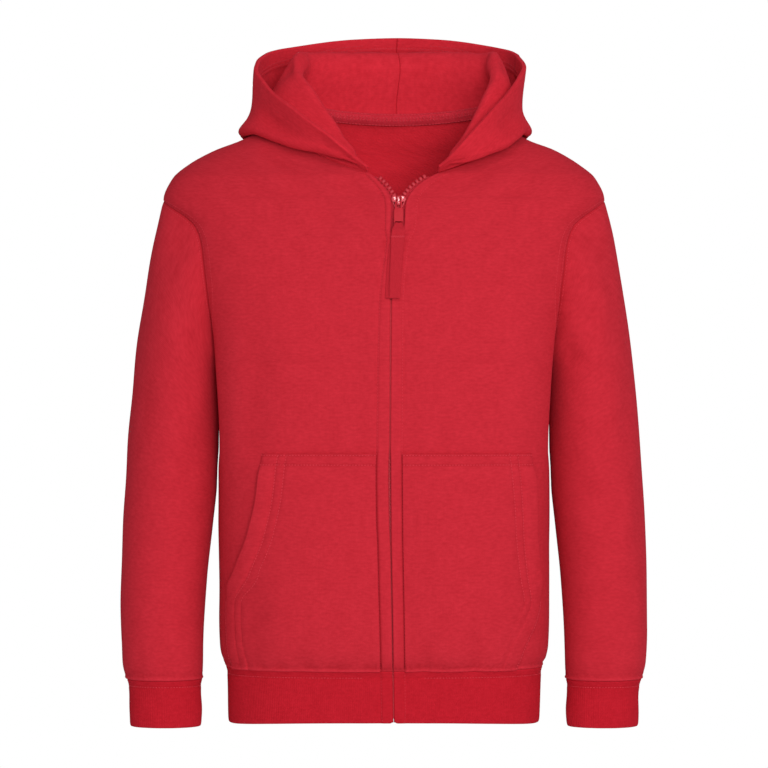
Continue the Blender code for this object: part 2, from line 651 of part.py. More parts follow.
def build_hem_band():
    """One band right round from the zip to the zip, with the turned-back edges at its ends."""
    rows = (HEM_Z, HEM_SEAM_Z - SEAM / 2)
    turns, heights, rises = [], [], []
    for z in rows:
        start_turn = zip_turn(z)
        girth = Girth(z, start_turn, start_turn + 2 * math.pi, 2000)
        gap = ZIP.at(z, "cloth_gap")
        left = gap + EDGE_COLUMNS
        right = girth.total - left[::-1]
        ribs = round((HEM_GIRTH - 2 * EDGE_FOLD) / RIB_PITCH)
        middle = np.linspace(left[-1], right[0], 2 * ribs + 1)[1:-1]
        turns.append(girth.turn_at(np.concatenate([left, middle, right])))
        drop = HEM_SIDE_DROP * np.cos(turns[-1]) ** 2 if z == HEM_Z else 0.0
        heights.append(z - drop * np.ones(len(turns[-1])))
        fold = [EDGE_FOLD_RISE] * 3 + [-STITCHED_DIP, 0.0]
        valleys = [-RIB_RELIEF * (i % 2 == 0) for i in range(len(middle))]
        rises.append(fold + valleys + fold[::-1])
    turns, heights, rises = np.array(turns), np.array(heights), np.array(rises)
    points, normals = body_point(turns, heights), level(body_normal(turns, heights))
    make_object("hem_band", wall(points + normals * rises[..., None], points - normals * RIB_KNIT), RED_RIB)


# ---------------------------------------------------------------- hood and neck


def neck_seam(side):
    """The points of the neck seam from the zip to the centre back: up the front panel's edge, over
    the shoulder and half-way along the back's top edge."""
    turns, heights, _ = front_panel(side)
    front = body_point(turns, heights)
    back = body_point(*back_panel())[-1]
    first = (BODY_ROWS + FRONT_UPPER_ROWS).index(FRONT_NECK_Z)
    middle = BACK_COLUMNS // 2
    back_half = back[1:middle + 1] if side > 0 else back[-2:middle - 1:-1]
    return np.concatenate([front[first:, 0], front[-1, -1:], back_half])


def seam_shares(points):
    lengths = np.concatenate([[0], np.cumsum(np.linalg.norm(np.diff(points, axis=0), axis=1))])
    return lengths / lengths[-1]


def smooth_path(controls, spans):
    """A Catmull-Rom curve through the control points, with a number of steps for each span."""
    controls = np.array(controls)
    padded = np.vstack([2 * controls[0] - controls[1], controls, 2 * controls[-1] - controls[-2]])
    knots = np.concatenate([[0], np.cumsum(np.linalg.norm(np.diff(padded, axis=0), axis=1) ** 0.5)])
    path = []
    for i, steps in enumerate(spans, start=1):
        p, k = padded[i - 1:i + 3], knots[i - 1:i + 3]
        for t in np.linspace(k[1], k[2], steps, endpoint=False):
            a = [((k[j + 1] - t) * p[j] + (t - k[j]) * p[j + 1]) / (k[j + 1] - k[j]) for j in range(3)]
            b = [((k[j + 2] - t) * a[j] + (t - k[j]) * a[j + 1]) / (k[j + 2] - k[j]) for j in range(2)]
            path.append(((k[2] - t) * b[0] + (t - k[1]) * b[1]) / (k[2] - k[1]))
    path.append(controls[-1])
    return np.array(path)


def hood_profile(side, neck, along):
    """The middle of the hood's wall from the neck seam to its front edge, at one place round."""
    def place(table):
        x, y, z, shift = (table.at(along, name) for name in ("x", "y", "z", "shift"))
        return np.array([side * x + shift, y, z])

    crest, fold, edge = place(HOOD_CREST), place(HOOD_FOLD), place(HOOD_EDGE)
    out = unit((fold - crest) * (1, 1, 0)) * HOOD_BEND_SQUASH
    up = np.array([0.0, 0.0, 1.0])
    roll, turn = HOOD_CREST.at(along, "roll"), HOOD_FOLD.at(along, "turn")
    stand = HOOD_STAND * max(crest[2] - roll - neck[2], HOOD_LEAST_STAND)
    controls = [
        neck + up * HOOD_START,
        neck + up * (HOOD_START + stand),
        crest - (out + up) * roll,
        crest,
        crest + (out - up) * roll,
        fold - (out - up) * turn,
        fold,
        fold + (out + up) * turn,
        fold + (edge - fold) * HOOD_WAIST - out * HOOD_FOLD.at(along, "pinch"),
        edge,
    ]
    folded = smooth_path(controls, HOOD_SPANS)
    straight = controls[0] + (edge - controls[0]) * np.linspace(0, 1, len(folded))[:, None]
    return straight + (folded - straight) * (1 - ease(along, 0.0, HOOD_CORNER))


def hood_grid(side):
    """The middle of a hood half's wall and its outward directions."""
    seam = neck_seam(side)
    shares = seam_shares(seam)
    columns = [hood_profile(side, neck, along) for neck, along in zip(seam, shares)]
    grid = np.array(columns).swapaxes(0, 1)
    normals = grid_normals(grid) * side
    normals[:, -1] = unit(np.cross([1.0, 0.0, 0.0], np.gradient(grid[:, -1], axis=0)) * -1)
    grid[:, -1, 0] += side * SEAM / 2
    thinning = HOOD_CORNER_THINNING * ease(shares, 0.0, HOOD_CORNER)
    half_thickness = HOOD_FLEECE / 2 * (1 - thinning)[None, :, None]
    return grid, normals * half_thickness


def build_hood():
    for name, side in (("hood_left", 1), ("hood_right", -1)):
        middle, half_wall = hood_grid(side)
        make_object(name, wall(middle + half_wall, middle - half_wall), RED)


def build_neck_tape():
    """A band over the neck seam inside the back of the neck, from shoulder seam to shoulder seam."""
    back, back_normals = panel_points(*back_panel())
    halves = []
    for side in (1, -1):
        middle, half_wall = hood_grid(side)
        last = BACK_COLUMNS // 2
        hood_up, hood_inside = middle[:2, -last - 1:], half_wall[:2, -last - 1:]
        order = slice(0, last + 1) if side > 0 else slice(None, last - 1, -1)
        seam, seam_normals, below = back[-1, order], back_normals[-1, order], back[-2, order]
        reach = NECK_TAPE_HEIGHT / 2
        up = seam + unit(hood_up[1] - hood_up[0]) * reach - hood_inside[1] - unit(hood_inside[1]) * SEAM
        down = seam + unit(below - seam) * reach - seam_normals * (FLEECE + SEAM)
        bend = unit(seam_normals + unit(hood_inside[0]))
        halves.append(np.array([down, seam - bend * (FLEECE + 2 * SEAM), up])[:, 1:])
    rows = np.concatenate([halves[0], halves[1][:, -2::-1]], axis=1)
    normals = grid_normals(rows)
    make_object("neck_tape", wall(rows, rows - normals * NECK_TAPE), RED)


# ---------------------------------------------------------------- zip


def build_zip_tapes():
    """Each side's tape with its row of teeth, behind the front panel's edge."""
    heights = [HEM_Z, -0.4900] + LOWER_ROWS + armhole_rows()[::-1] + [-0.0600, -0.0570, -0.0540, -0.0510,
                                                                   -0.0480, -0.0445]
    heights = sorted(heights)
    behind = RIB_KNIT + SEAM
    tape_top = -(behind + (BEAD - TAPE) / 2)
    # across the tape: length from its inner edge, outer face, inner face
    section = [
        (0.0, -behind, -behind - BEAD),
        (BEAD, -behind, -behind - BEAD),
        (BEAD + 0.0001, tape_top, tape_top - TAPE),
        (TAPE_WIDTH, tape_top, tape_top - TAPE),
    ]
    for name, side in (("zip_tape_left", 1), ("zip_tape_right", -1)):
        outer, inner = [], []
        for z in heights:
            girth = front_girth(z, side)
            turns = girth.turn_at(ZIP.at(z, "tape_gap") + np.array([part[0] for part in section]))
            points, normals = body_point(turns, z), level(body_normal(turns, z))
            outer.append(points + normals * np.array([[part[1]] for part in section]))
            inner.append(points + normals * np.array([[part[2]] for part in section]))
        make_object(name, wall(np.array(outer), np.array(inner)), RED_ZIP)


def chest_frame():
    """The slider's own frame: X across, Y up along the zip, Z out of the cloth."""
    def on_zip(z):
        return body_point(zip_turn(z), z)

    origin = on_zip(SLIDER_Z)
    up = on_zip(SLIDER_Z + 0.006) - on_zip(SLIDER_Z - 0.006)
    up = unit(up * (0, 1, 1))
    across = np.array([1.0, 0.0, 0.0])
    return Matrix.Translation(origin) @ Matrix((across, up, np.cross(across, up))).transposed().to_4x4()


def prism(outline, low, high, along=2):
    """A closed outline pulled out between two heights along one axis of the frame."""
    bm = bmesh.new()
    order = {0: (2, 0, 1), 2: (0, 1, 2)}[along]
    ends = []
    for height in (low, high):
        ring = []
        for a, b in outline:
            point = (a, b, height)
            ring.append(bm.verts.new([point[k] for k in order]))
        ends.append(ring)
    count = len(outline)
    for i in range(count):
        j = (i + 1) % count
        bm.faces.new([ends[0][i], ends[0][j], ends[1][j], ends[1][i]])
    bm.faces.new(ends[0][::-1])
    bm.faces.new(ends[1])
    bmesh.ops.recalc_face_normals(bm, faces=bm.faces)
    return bm


def rounded(corners, radius, steps=3):
    """An outline with its corners rounded."""
    corners = [np.array(corner, float) for corner in corners]
    outline = []
    for i, corner in enumerate(corners):
        before, after = unit(corners[i - 1] - corner), unit(corners[(i + 1) % len(corners)] - corner)
        for t in np.linspace(0, 1, steps):
            outline.append(corner + radius * ((1 - t) ** 2 * before + t ** 2 * after))
    return outline


def mirrored(half):
    """An outline from its right-hand points, listed from top to bottom."""
    return half + [(-x, y) for x, y in reversed(half)]


def place_in(frame, obj):
    obj.matrix_world = frame
    return obj


def guide(name, bm, frame):
    obj = place_in(frame, make_object(name, bm, RED_ZIP))
    obj.hide_render = True
    obj.display_type = "WIRE"
    return obj


def boolean(obj, other, operation):
    modifier = obj.modifiers.new(other.name, "BOOLEAN")
    modifier.operation = operation
    modifier.object = other


# The slider, in its own frame: right-hand points (across, up), and heights out of the cloth.
SHIELD = [(0.0059, 0.0046), (0.0059, 0.0008), (0.0034, -0.0052)]
SHIELD_ROUNDING = 0.0009
TOP_PLATE = (-0.0022, -0.0009)
BOTTOM_PLATE = (-0.0069, -0.0057)
POST = [(0.0004, 0.0044), (0.0009, 0.0034), (0.0004, 0.0024)]
POST_HEIGHTS = (-0.0063, -0.0012)
# The crown is an arch along the zip: (up, out), outside first and then inside.
CROWN = [
    (-0.0042, -0.0012), (-0.0040, 0.0014), (-0.0026, 0.0026), (0.0026, 0.0026), (0.0040, 0.0014),
    (0.0042, -0.0012), (0.0030, -0.0012), (0.0029, 0.0009), (0.0020, 0.0016), (-0.0020, 0.0016),
    (-0.0029, 0.0009), (-0.0030, -0.0012),
]
CROWN_HALF_WIDTH = 0.0011
# The link of the pull, in a frame on its pivot.
LINK = [(0.0029, 0.00065), (0.0031, -0.0050), (0.0041, -0.0085), (0.0041, -0.0214)]
LINK_ROUNDING = 0.0007
LINK_HALF_THICKNESS = 0.00065
CROWN_HOLE = [(0.0016, -0.00065), (0.0016, -0.0052)]
TAB_HOLE = [(0.0033, -0.0175), (0.0033, -0.0200)]
HOLE_ROUNDING = 0.0004
HOLE_REACH = 0.0020
ENAMEL_ROUGHNESS, ENAMEL_METALLIC = 0.35, 0.6


def build_slider(frame):
    """Two shield-shaped plates on a post, with the crown that the pull swings on."""
    shield = rounded(mirrored(SHIELD), SHIELD_ROUNDING)
    slider = make_object("zip_slider", prism(shield, *TOP_PLATE), RED_ZIP, ENAMEL_ROUGHNESS, ENAMEL_METALLIC)
    place_in(frame, slider)
    bottom = guide("slider_bottom", prism(shield, *BOTTOM_PLATE), frame)
    post = guide("slider_post", prism(mirrored(POST), *POST_HEIGHTS), frame)
    crown = guide("slider_crown", prism(CROWN, -CROWN_HALF_WIDTH, CROWN_HALF_WIDTH, along=0), frame)
    for other in (bottom, post, crown):
        boolean(slider, other, "UNION")


def build_puller(frame):
    """The metal link from the crown to the fabric tab, with a hole at each end."""
    link = prism(rounded(mirrored(LINK), LINK_ROUNDING), -LINK_HALF_THICKNESS, LINK_HALF_THICKNESS)
    puller = make_object("zip_puller", link, RED_ZIP, ENAMEL_ROUGHNESS, ENAMEL_METALLIC)
    place_in(frame, puller)
    for name, outline in (("crown_hole", CROWN_HOLE), ("tab_hole", TAB_HOLE)):
        hole = prism(rounded(mirrored(outline), HOLE_ROUNDING), -HOLE_REACH, HOLE_REACH)
        boolean(puller, guide(name, hole, frame), "DIFFERENCE")


# The fabric tab, folded over the puller's end bar, in the slider's frame.  It starts at the lower
# end of its back layer.  stand is its height above the cloth, and at the bar above the frame.
TAB = Table(
    ("part", "up", "stand", "on_cloth", "across", "half_width"),
    [
        (0.00, -0.0846, 0.0018, 1, -0.0058, 0.0056),
        (0.25, -0.0640, 0.0018, 1, -0.0048, 0.0056),
        (0.50, -0.0440, 0.0018, 1, -0.0032, 0.0056),
        (0.70, -0.0310, 0.0018, 1, -0.0014, 0.0050),
        (0.78, -0.0268, 0.0020, 1, -0.0016, 0.0040),
        (0.82, -0.0240, 0.0001, 0, -0.0015, 0.0027),
        (0.86, -0.0223, -0.0012, 0, -0.0012, 0.0027),
        (0.90, -0.0205, -0.00155, 0, -0.0007, 0.0028),
        (0.94, -0.0195, -0.0013, 0, -0.0002, 0.0029),
        (0.98, -0.0191, -0.0005, 0, 0.0000, 0.0030),
        (1.02, -0.0191, 0.0005, 0, 0.0000, 0.0030),
        (1.06, -0.0195, 0.0013, 0, 0.0000, 0.0030),
        (1.10, -0.0205, 0.00155, 0, 0.0000, 0.0034),
        (1.14, -0.0227, 0.0018, 0, 0.0000, 0.0046),
        (1.22, -0.0263, 0.0023, 0, -0.0002, 0.0058),
        (1.30, -0.0305, 0.0033, 1, -0.0006, 0.0058),
        (1.50, -0.0440, 0.0034, 1, -0.0014, 0.0054),
        (1.75, -0.0640, 0.0034, 1, -0.0026, 0.0050),
        (2.00, -0.0852, 0.0034, 1, -0.0036, 0.0046),
    ],
)
TAB_THICKNESS = 0.0010
TAB_CLOTH = np.linspace(-0.160, -0.060, 60)     # heights at which the cloth under the tab is read


def build_tab(frame):
    into = frame.inverted()
    zip_line = np.array([into @ Vector(body_point(zip_turn(z), z)) for z in TAB_CLOTH])
    path = []
    for part in TAB.key:
        value = {name: float(TAB.at(part, name)) for name in TAB.columns}
        cloth = np.interp(value["up"], zip_line[:, 1], zip_line[:, 2]) * value["on_cloth"]
        path.append([value["up"], value["stand"] + cloth, value["across"], value["half_width"]])
    path = np.array(path)
    along = np.gradient(path[:, :2], axis=0)
    facing = unit(np.stack([along[:, 1], -along[:, 0]], axis=-1))
    sheets = []
    for offset in (0.5, -0.5):
        edge = path[:, :2] + facing * TAB_THICKNESS * offset
        sheets.append(np.array([
            [(middle + x * half, up, out) for x in (-1.0, 0.0, 1.0)]
            for (up, out), middle, half in zip(edge, path[:, 2], path[:, 3])
        ]))
    place_in(frame, make_object("pull_tab", wall(*sheets), RED))


# ---------------------------------------------------------------- build


def main():
    for obj in list(bpy.data.objects):
        bpy.data.objects.remove(obj)
    build_fronts()
    build_back()
    build_pockets()
    build_sleeves()
    build_cuffs()
    build_hem_band()
    build_hood()
    build_neck_tape()
    build_zip_tapes()
    frame = chest_frame()
    build_slider(frame)
    pull_frame = frame @ Matrix.Translation(PULL_PIVOT)
    build_puller(pull_frame)
    build_tab(pull_frame)


main()
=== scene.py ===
import math

import bmesh
import bpy
import numpy as np
from mathutils import Matrix, Vector


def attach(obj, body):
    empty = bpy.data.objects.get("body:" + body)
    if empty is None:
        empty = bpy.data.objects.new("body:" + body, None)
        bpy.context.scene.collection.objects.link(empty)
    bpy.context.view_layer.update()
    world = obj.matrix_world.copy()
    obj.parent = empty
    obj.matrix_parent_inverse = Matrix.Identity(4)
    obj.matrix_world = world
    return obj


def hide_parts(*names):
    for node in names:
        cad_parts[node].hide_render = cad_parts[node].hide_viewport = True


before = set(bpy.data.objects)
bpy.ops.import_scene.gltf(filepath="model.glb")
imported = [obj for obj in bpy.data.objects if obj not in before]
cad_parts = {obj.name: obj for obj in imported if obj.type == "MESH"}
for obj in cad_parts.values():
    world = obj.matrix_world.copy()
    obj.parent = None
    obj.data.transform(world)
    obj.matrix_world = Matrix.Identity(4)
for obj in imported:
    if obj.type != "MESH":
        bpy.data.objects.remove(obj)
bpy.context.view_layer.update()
print("frame loaded:", len(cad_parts), "nodes")

studio = dict(
    cameraAt=(0.0, -3.0, -0.2235),   # level with the middle of the garment
    frameWidth=0.676,                # what the view spans at the garment's middle plane
    floorZ=-1.3, floorRadius=3.0, floorColour=(0.86, 0.86, 0.86, 1), floorRoughness=0.9,
    keyAt=(1.7, -2.3, 1.3), keySize=1.9, keyPower=17.0,
    fillAt=(-2.0, -2.2, 0.3), fillSize=2.2, fillPower=3.0,
    frontAt=(0.45, -3.1, 0.05), frontSize=1.2, frontPower=42.0,
    topAt=(0.05, -2.45, 1.75), topSize=0.5, topPower=11.0,
    aimAt=(0, 0, -0.2),              # what all four lamps are turned to
    skyLight=0.32,                   # what the white room gives from every side
)


def addObject(name, data):
    obj = bpy.data.objects.new(name, data)
    bpy.context.scene.collection.objects.link(obj)
    return obj


def makeStudio():
    scene = bpy.context.scene
    scene.view_settings.view_transform = "Standard"
    camera = addObject("camera", bpy.data.cameras.new("camera"))
    camera.location = studio["cameraAt"]
    camera.rotation_euler = (math.radians(90), 0, 0)
    camera.data.sensor_fit = "HORIZONTAL"
    camera.data.angle = 2 * math.atan(studio["frameWidth"] / 2 / -studio["cameraAt"][1])
    scene.camera = camera

    world = bpy.data.worlds.new("whiteRoom")
    world.use_nodes = True
    nodes, links = world.node_tree.nodes, world.node_tree.links
    nodes.clear()
    output = nodes.new("ShaderNodeOutputWorld")
    mix = nodes.new("ShaderNodeMixShader")
    rays = nodes.new("ShaderNodeLightPath")
    for socket, strength in ((1, studio["skyLight"]), (2, 1.0)):
        background = nodes.new("ShaderNodeBackground")
        background.inputs["Color"].default_value = (1, 1, 1, 1)
        background.inputs["Strength"].default_value = strength
        links.new(background.outputs[0], mix.inputs[socket])
    links.new(rays.outputs["Is Camera Ray"], mix.inputs[0])
    links.new(mix.outputs[0], output.inputs[0])
    scene.world = world

    for name in ("key", "fill", "front", "top"):
        light = bpy.data.lights.new(name + "Light", "AREA")
        light.size = studio[name + "Size"]
        light.energy = studio[name + "Power"]
        lamp = addObject(name + "Light", light)
        lamp.location = studio[name + "At"]
        aim = Vector(studio["aimAt"]) - lamp.location
        lamp.rotation_euler = aim.to_track_quat("-Z", "Y").to_euler()

    bm = bmesh.new()
    bmesh.ops.create_circle(bm, cap_ends=True, segments=96, radius=studio["floorRadius"])
    bmesh.ops.translate(bm, verts=bm.verts, vec=(0, 0, studio["floorZ"]))
    mesh = bpy.data.meshes.new("floor")
    bm.to_mesh(mesh)
    bm.free()
    paper = bpy.data.materials.new("palePaper")
    paper.use_nodes = True
    shader = paper.node_tree.nodes["Principled BSDF"]
    shader.inputs["Base Color"].default_value = studio["floorColour"]
    shader.inputs["Roughness"].default_value = studio["floorRoughness"]
    mesh.materials.append(paper)
    addObject("floor", mesh)


makeStudio()
print("studio ready")


class Table:
    # rows of named columns, each read on a smooth curve along the first one

    def __init__(self, names, rows):
        rows = np.array(sorted(rows), float)
        self.key = rows[:, 0]
        self.columns = {name: rows[:, i] for i, name in enumerate(names.split())}
        self.slopes = {name: self.findSlopes(values) for name, values in self.columns.items()}

    def findSlopes(self, values):
        step = np.diff(self.key)
        rise = np.diff(values) / step
        slopes = np.zeros(len(values))
        slopes[0], slopes[-1] = rise[0], rise[-1]
        for i in range(1, len(values) - 1):
            if rise[i - 1] * rise[i] > 0:
                before, after = 2 * step[i] + step[i - 1], step[i] + 2 * step[i - 1]
                slopes[i] = (before + after) / (before / rise[i - 1] + after / rise[i])
        return slopes

    def at(self, where, name):
        where = np.clip(where, self.key[0], self.key[-1])
        i = np.clip(np.searchsorted(self.key, where, side="right") - 1, 0, len(self.key) - 2)
        step = self.key[i + 1] - self.key[i]
        t = (where - self.key[i]) / step
        values, slopes = self.columns[name], self.slopes[name]
        return (
            (1 + 2 * t) * (1 - t) ** 2 * values[i]
            + t * (1 - t) ** 2 * step * slopes[i]
            + t * t * (3 - 2 * t) * values[i + 1]
            + t * t * (t - 1) * step * slopes[i + 1]
        )


def unit(vectors):
    return vectors / np.maximum(np.linalg.norm(vectors, axis=-1, keepdims=True), 1e-12)


def runLengths(path):
    # the length along a path at each of its points
    return np.concatenate([[0], np.cumsum(np.linalg.norm(np.diff(path, axis=0), axis=1))])


def readAt(where, lengths, values):
    # a path's points or facings at some lengths
    return np.stack([np.interp(where, lengths, values[:, k]) for k in range(3)], axis=-1)


def ease(value, low, high):
    # 1 below the low value, 0 above the high one
    t = np.clip((value - low) / (high - low), 0, 1)
    return 1 - t * t * (3 - 2 * t)


def bell(distance, width):
    return np.exp(-((distance / width) ** 2))


waves, waveSizes = 6, (0.7, 1.6)


def ripple(a, b, seed, size):
    # gentle unevenness from a few crossing waves of about one size, the same each run
    draw = np.random.RandomState(seed)
    total = np.zeros(np.broadcast(a, b).shape)
    for _ in range(waves):
        heading, phase = draw.uniform(0, 2 * math.pi, 2)
        rate = 2 * math.pi / (size * draw.uniform(*waveSizes))
        total += np.sin(rate * (a * math.cos(heading) + b * math.sin(heading)) + phase)
    return total / waves


def drawnIn(a, b, creases, eased=True):
    # how far creases draw the cloth in at the places a, b. Each crease is its width, or
    # its widths along a and b, and then the places of its path, as a, b and depth. A ridge has a
    # negative depth
    depth = np.zeros(np.shape(a))
    for width, *path in creases:
        wide, tall = width if isinstance(width, tuple) else (width, width)
        nearest, drawn = np.full(depth.shape, 1e9), np.zeros(depth.shape)
        for (a0, b0, d0), (a1, b1, d1) in zip(path[:-1], path[1:]):
            lineA, lineB = (a1 - a0) / wide, (b1 - b0) / tall
            fromA, fromB = (a - a0) / wide, (b - b0) / tall
            t = np.clip((fromA * lineA + fromB * lineB) / (lineA ** 2 + lineB ** 2), 0, 1)
            away = np.hypot(fromA - t * lineA, fromB - t * lineB)
            closer = away < nearest
            nearest = np.where(closer, away, nearest)
            drawn = np.where(closer, d0 + (d1 - d0) * (t * t * (3 - 2 * t) if eased else t), drawn)
        depth += drawn * bell(nearest, 1)
    return depth


faceStart, faceGain = 0.15, 2.5


def creaseDepth(cloth, creases, face):
    # face is -1 for creases on the front of the garment and 1 for those on its back; round the
    # sides they fade out
    facing = np.clip(faceStart + faceGain * face * cloth.normals[..., 1], 0, 1)
    return facing * drawnIn(cloth.points[..., 0], cloth.points[..., 2], creases)


cut = dict(
    seam=0.0003,                     # clear space that the frame leaves where two pieces are sewn together
    fleece=0.0022, hoodFleece=0.0028, ribKnit=0.0026,
    hemSeam=-0.47, hem=-0.515, hemSideDrop=0.004,
    cuffSeam=-0.481, cuff=-0.5225,
    neckTop=0.022, frontNeck=-0.041, pocketTop=-0.283,
    armholeTop=-0.062, armholeBottom=-0.205, armholeDepth=0.05, armholeSteps=56,
)

# level sections of the body; tuck is how far the arm presses the side in
bodyShape = Table("z halfWidth front back squareness tuck shift", [
    (0.022, 0.096, 0.02, 0.056, 2.1, 0, 0.011), (0.012, 0.103, 0.029, 0.06, 2.1, 0, 0.007),
    (0, 0.1135, 0.038, 0.064, 2.2, 0, 0.003), (-0.008, 0.1245, 0.043, 0.067, 2.2, 0, 0.001),
    (-0.018, 0.1495, 0.049, 0.07, 2.2, 0, 0), (-0.031, 0.172, 0.056, 0.073, 2.3, 0, 0),
    (-0.043, 0.186, 0.062, 0.076, 2.3, 0, 0), (-0.062, 0.194, 0.069, 0.079, 2.4, 0, 0),
    (-0.087, 0.18, 0.076, 0.082, 2.6, 0.006, 0), (-0.13, 0.167, 0.085, 0.085, 3.1, 0.01, 0),
    (-0.185, 0.1555, 0.089, 0.084, 3.3, 0.013, 0), (-0.24, 0.1515, 0.089, 0.081, 3.3, 0.011, 0),
    (-0.3, 0.1482, 0.087, 0.078, 3.1, 0.003, 0), (-0.34, 0.1465, 0.0865, 0.0775, 3, 0.001, 0),
    (-0.37, 0.145, 0.0865, 0.077, 2.9, 0, 0), (-0.42, 0.145, 0.0865, 0.078, 2.9, 0, 0),
    (-0.452, 0.144, 0.0845, 0.0765, 2.9, 0, 0), (-0.464, 0.1415, 0.0805, 0.074, 3, 0, 0),
    (-0.47, 0.1385, 0.0775, 0.071, 3.1, 0, 0), (-0.478, 0.1375, 0.0765, 0.07, 3.1, 0, 0),
    (-0.515, 0.1362, 0.075, 0.0685, 3.1, 0, 0),
])
tuckNear, tuckFar = 0.024, 0.054
backNeckDip, backNeckDipReach = 0.009, 0.05

# the line of the zip, and how far the cloth and the tape of each side stand back from it
zipLine = Table("z x clothGap tapeGap", [
    (-0.041, 0.0165, 0.03, 0.027), (-0.0443, 0.0156, 0.025, 0.0217), (-0.049, 0.0143, 0.019, 0.0152),
    (-0.0545, 0.0134, 0.0132, 0.0093), (-0.06, 0.0129, 0.0092, 0.0052), (-0.066, 0.0125, 0.0068, 0.001),
    (-0.072, 0.0121, 0.006, 0.00015), (-0.085, 0.0117, 0.0057, 0.00015), (-0.09, 0.0112, 0.0054, 0.00015),
    (-0.1, 0.0098, 0.0024, 0.00015), (-0.125, 0.0074, 0.0007, 0.00015), (-0.15, 0.006, 0.0004, 0.00015),
    (-0.276, 0.005, 0.0004, 0.00015), (-0.295, 0.0048, 0.001, 0.00015), (-0.34, 0.0052, 0.0009, 0.00015),
    (-0.362, 0.0058, 0.0004, 0.00015), (-0.43, 0.0071, 0.0004, 0.00015), (-0.515, 0.0083, 0.0004, 0.00015),
])

# the front neck seam, as distances from the middle of the neck
frontNeck = Table("z halfWidth middle", [
    (-0.041, 0.03, 0.0165), (-0.039, 0.037, 0.0164), (-0.034, 0.052, 0.016), (-0.028, 0.066, 0.0154),
    (-0.02, 0.0775, 0.0148), (-0.008, 0.0855, 0.0145), (0.007, 0.0885, 0.0145), (0.022, 0.0885, 0.0145),
])

# the largest soft troughs of the body, which the frame's own solids have too
bodyTroughs = {
    "front": [
        (0.011, (-0.096, -0.02, 0.003), (-0.045, -0.082, 0.003)),
        (0.009, (-0.03, -0.052, 0.002), (-0.01, -0.074, 0.002)),
        (0.013, (0.136, -0.03, 0.0026), (0.098, -0.078, 0.0026)),
    ],
    "back": [
        (0.018, (-0.13, -0.15, 0.004), (-0.085, -0.26, 0.004)),
        (0.018, (0.132, -0.155, 0.004), (0.082, -0.27, 0.004)),
        (0.016, (-0.06, -0.34, 0.003), (-0.01, -0.372, 0.003)),
    ],
}


def bodyPoint(turn, z):
    # turn is 0 at the wearer's left side and a quarter turn on at the back
    turn, z = np.broadcast_arrays(np.asarray(turn, float), np.asarray(z, float))
    exponent = 2 / bodyShape.at(z, "squareness")
    across, deep = np.cos(turn), np.sin(turn)
    depth = np.where(deep > 0, bodyShape.at(z, "back"), bodyShape.at(z, "front"))
    x = bodyShape.at(z, "halfWidth") * np.sign(across) * np.abs(across) ** exponent
    y = depth * np.sign(deep) * np.abs(deep) ** exponent
    tuck = bodyShape.at(z, "tuck") * ease(np.abs(y), tuckNear, tuckFar)
    x = x - tuck * np.clip(across * 4, -1, 1) + bodyShape.at(z, "shift")
    share = np.clip(np.abs(y) / depth, 0, 1)
    y = y - np.sign(y) * share * np.where(deep > 0, drawnIn(x, z, bodyTroughs["back"]),
                                             drawnIn(x, z, bodyTroughs["front"]))
    rise = np.clip(1 - (cut["neckTop"] - z) / backNeckDipReach, 0, 1)
    z = z - backNeckDip * rise * np.clip(deep, 0, 1) ** 2
    return np.stack([x, y, z], axis=-1)


def bodyNormal(turn, z):
    smallTurn, smallZ = 0.01, 0.0015
    around = bodyPoint(turn + smallTurn, z) - bodyPoint(turn - smallTurn, z)
    up = bodyPoint(turn, z + smallZ) - bodyPoint(turn, z - smallZ)
    return unit(np.cross(around, up))


def sideX(y, z):
    depth = np.where(y > 0, bodyShape.at(z, "back"), bodyShape.at(z, "front"))
    squareness = bodyShape.at(z, "squareness")
    share = np.clip(np.abs(y) / depth, 0, 1)
    x = bodyShape.at(z, "halfWidth") * (1 - share ** squareness) ** (1 / squareness)
    return x - bodyShape.at(z, "tuck") * ease(np.abs(y), tuckNear, tuckFar)


class Level:
    # one level of the body between two turns, read by the length of cloth from its start

    def __init__(self, z, start, end, samples=1200):
        self.turns = np.linspace(start, end, samples)
        self.points = bodyPoint(self.turns, z)
        self.lengths = runLengths(self.points)
        self.total = self.lengths[-1]

    def turnAt(self, length):
        return np.interp(length, self.lengths, self.turns)

    def lengthWhere(self, values, target):
        i = int(np.argmax(values >= target))
        if i == 0:
            return 0.0
        share = (target - values[i - 1]) / max(values[i] - values[i - 1], 1e-9)
        return self.lengths[i - 1] + min(share, 1) * (self.lengths[i] - self.lengths[i - 1])


zipSweep, zipSamples = 0.9, 721     # how far either side of the front's middle the zip is looked for


def zipTurn(z):
    sweep = np.linspace(-math.pi / 2 - zipSweep, -math.pi / 2 + zipSweep, zipSamples)
    return np.interp(zipLine.at(z, "x"), bodyPoint(sweep, z)[:, 0], sweep)


armholeMiddle = (cut["armholeTop"] + cut["armholeBottom"]) / 2
armholeHalf = (cut["armholeTop"] - cut["armholeBottom"]) / 2


def armholeHalfDepth(z):
    return cut["armholeDepth"] * np.sqrt(np.clip(1 - ((z - armholeMiddle) / armholeHalf) ** 2, 0, 1))


def armholeRows():
    steps = cut["armholeSteps"]
    return [armholeMiddle + armholeHalf * math.cos(math.pi * i / steps) for i in range(steps + 1)]


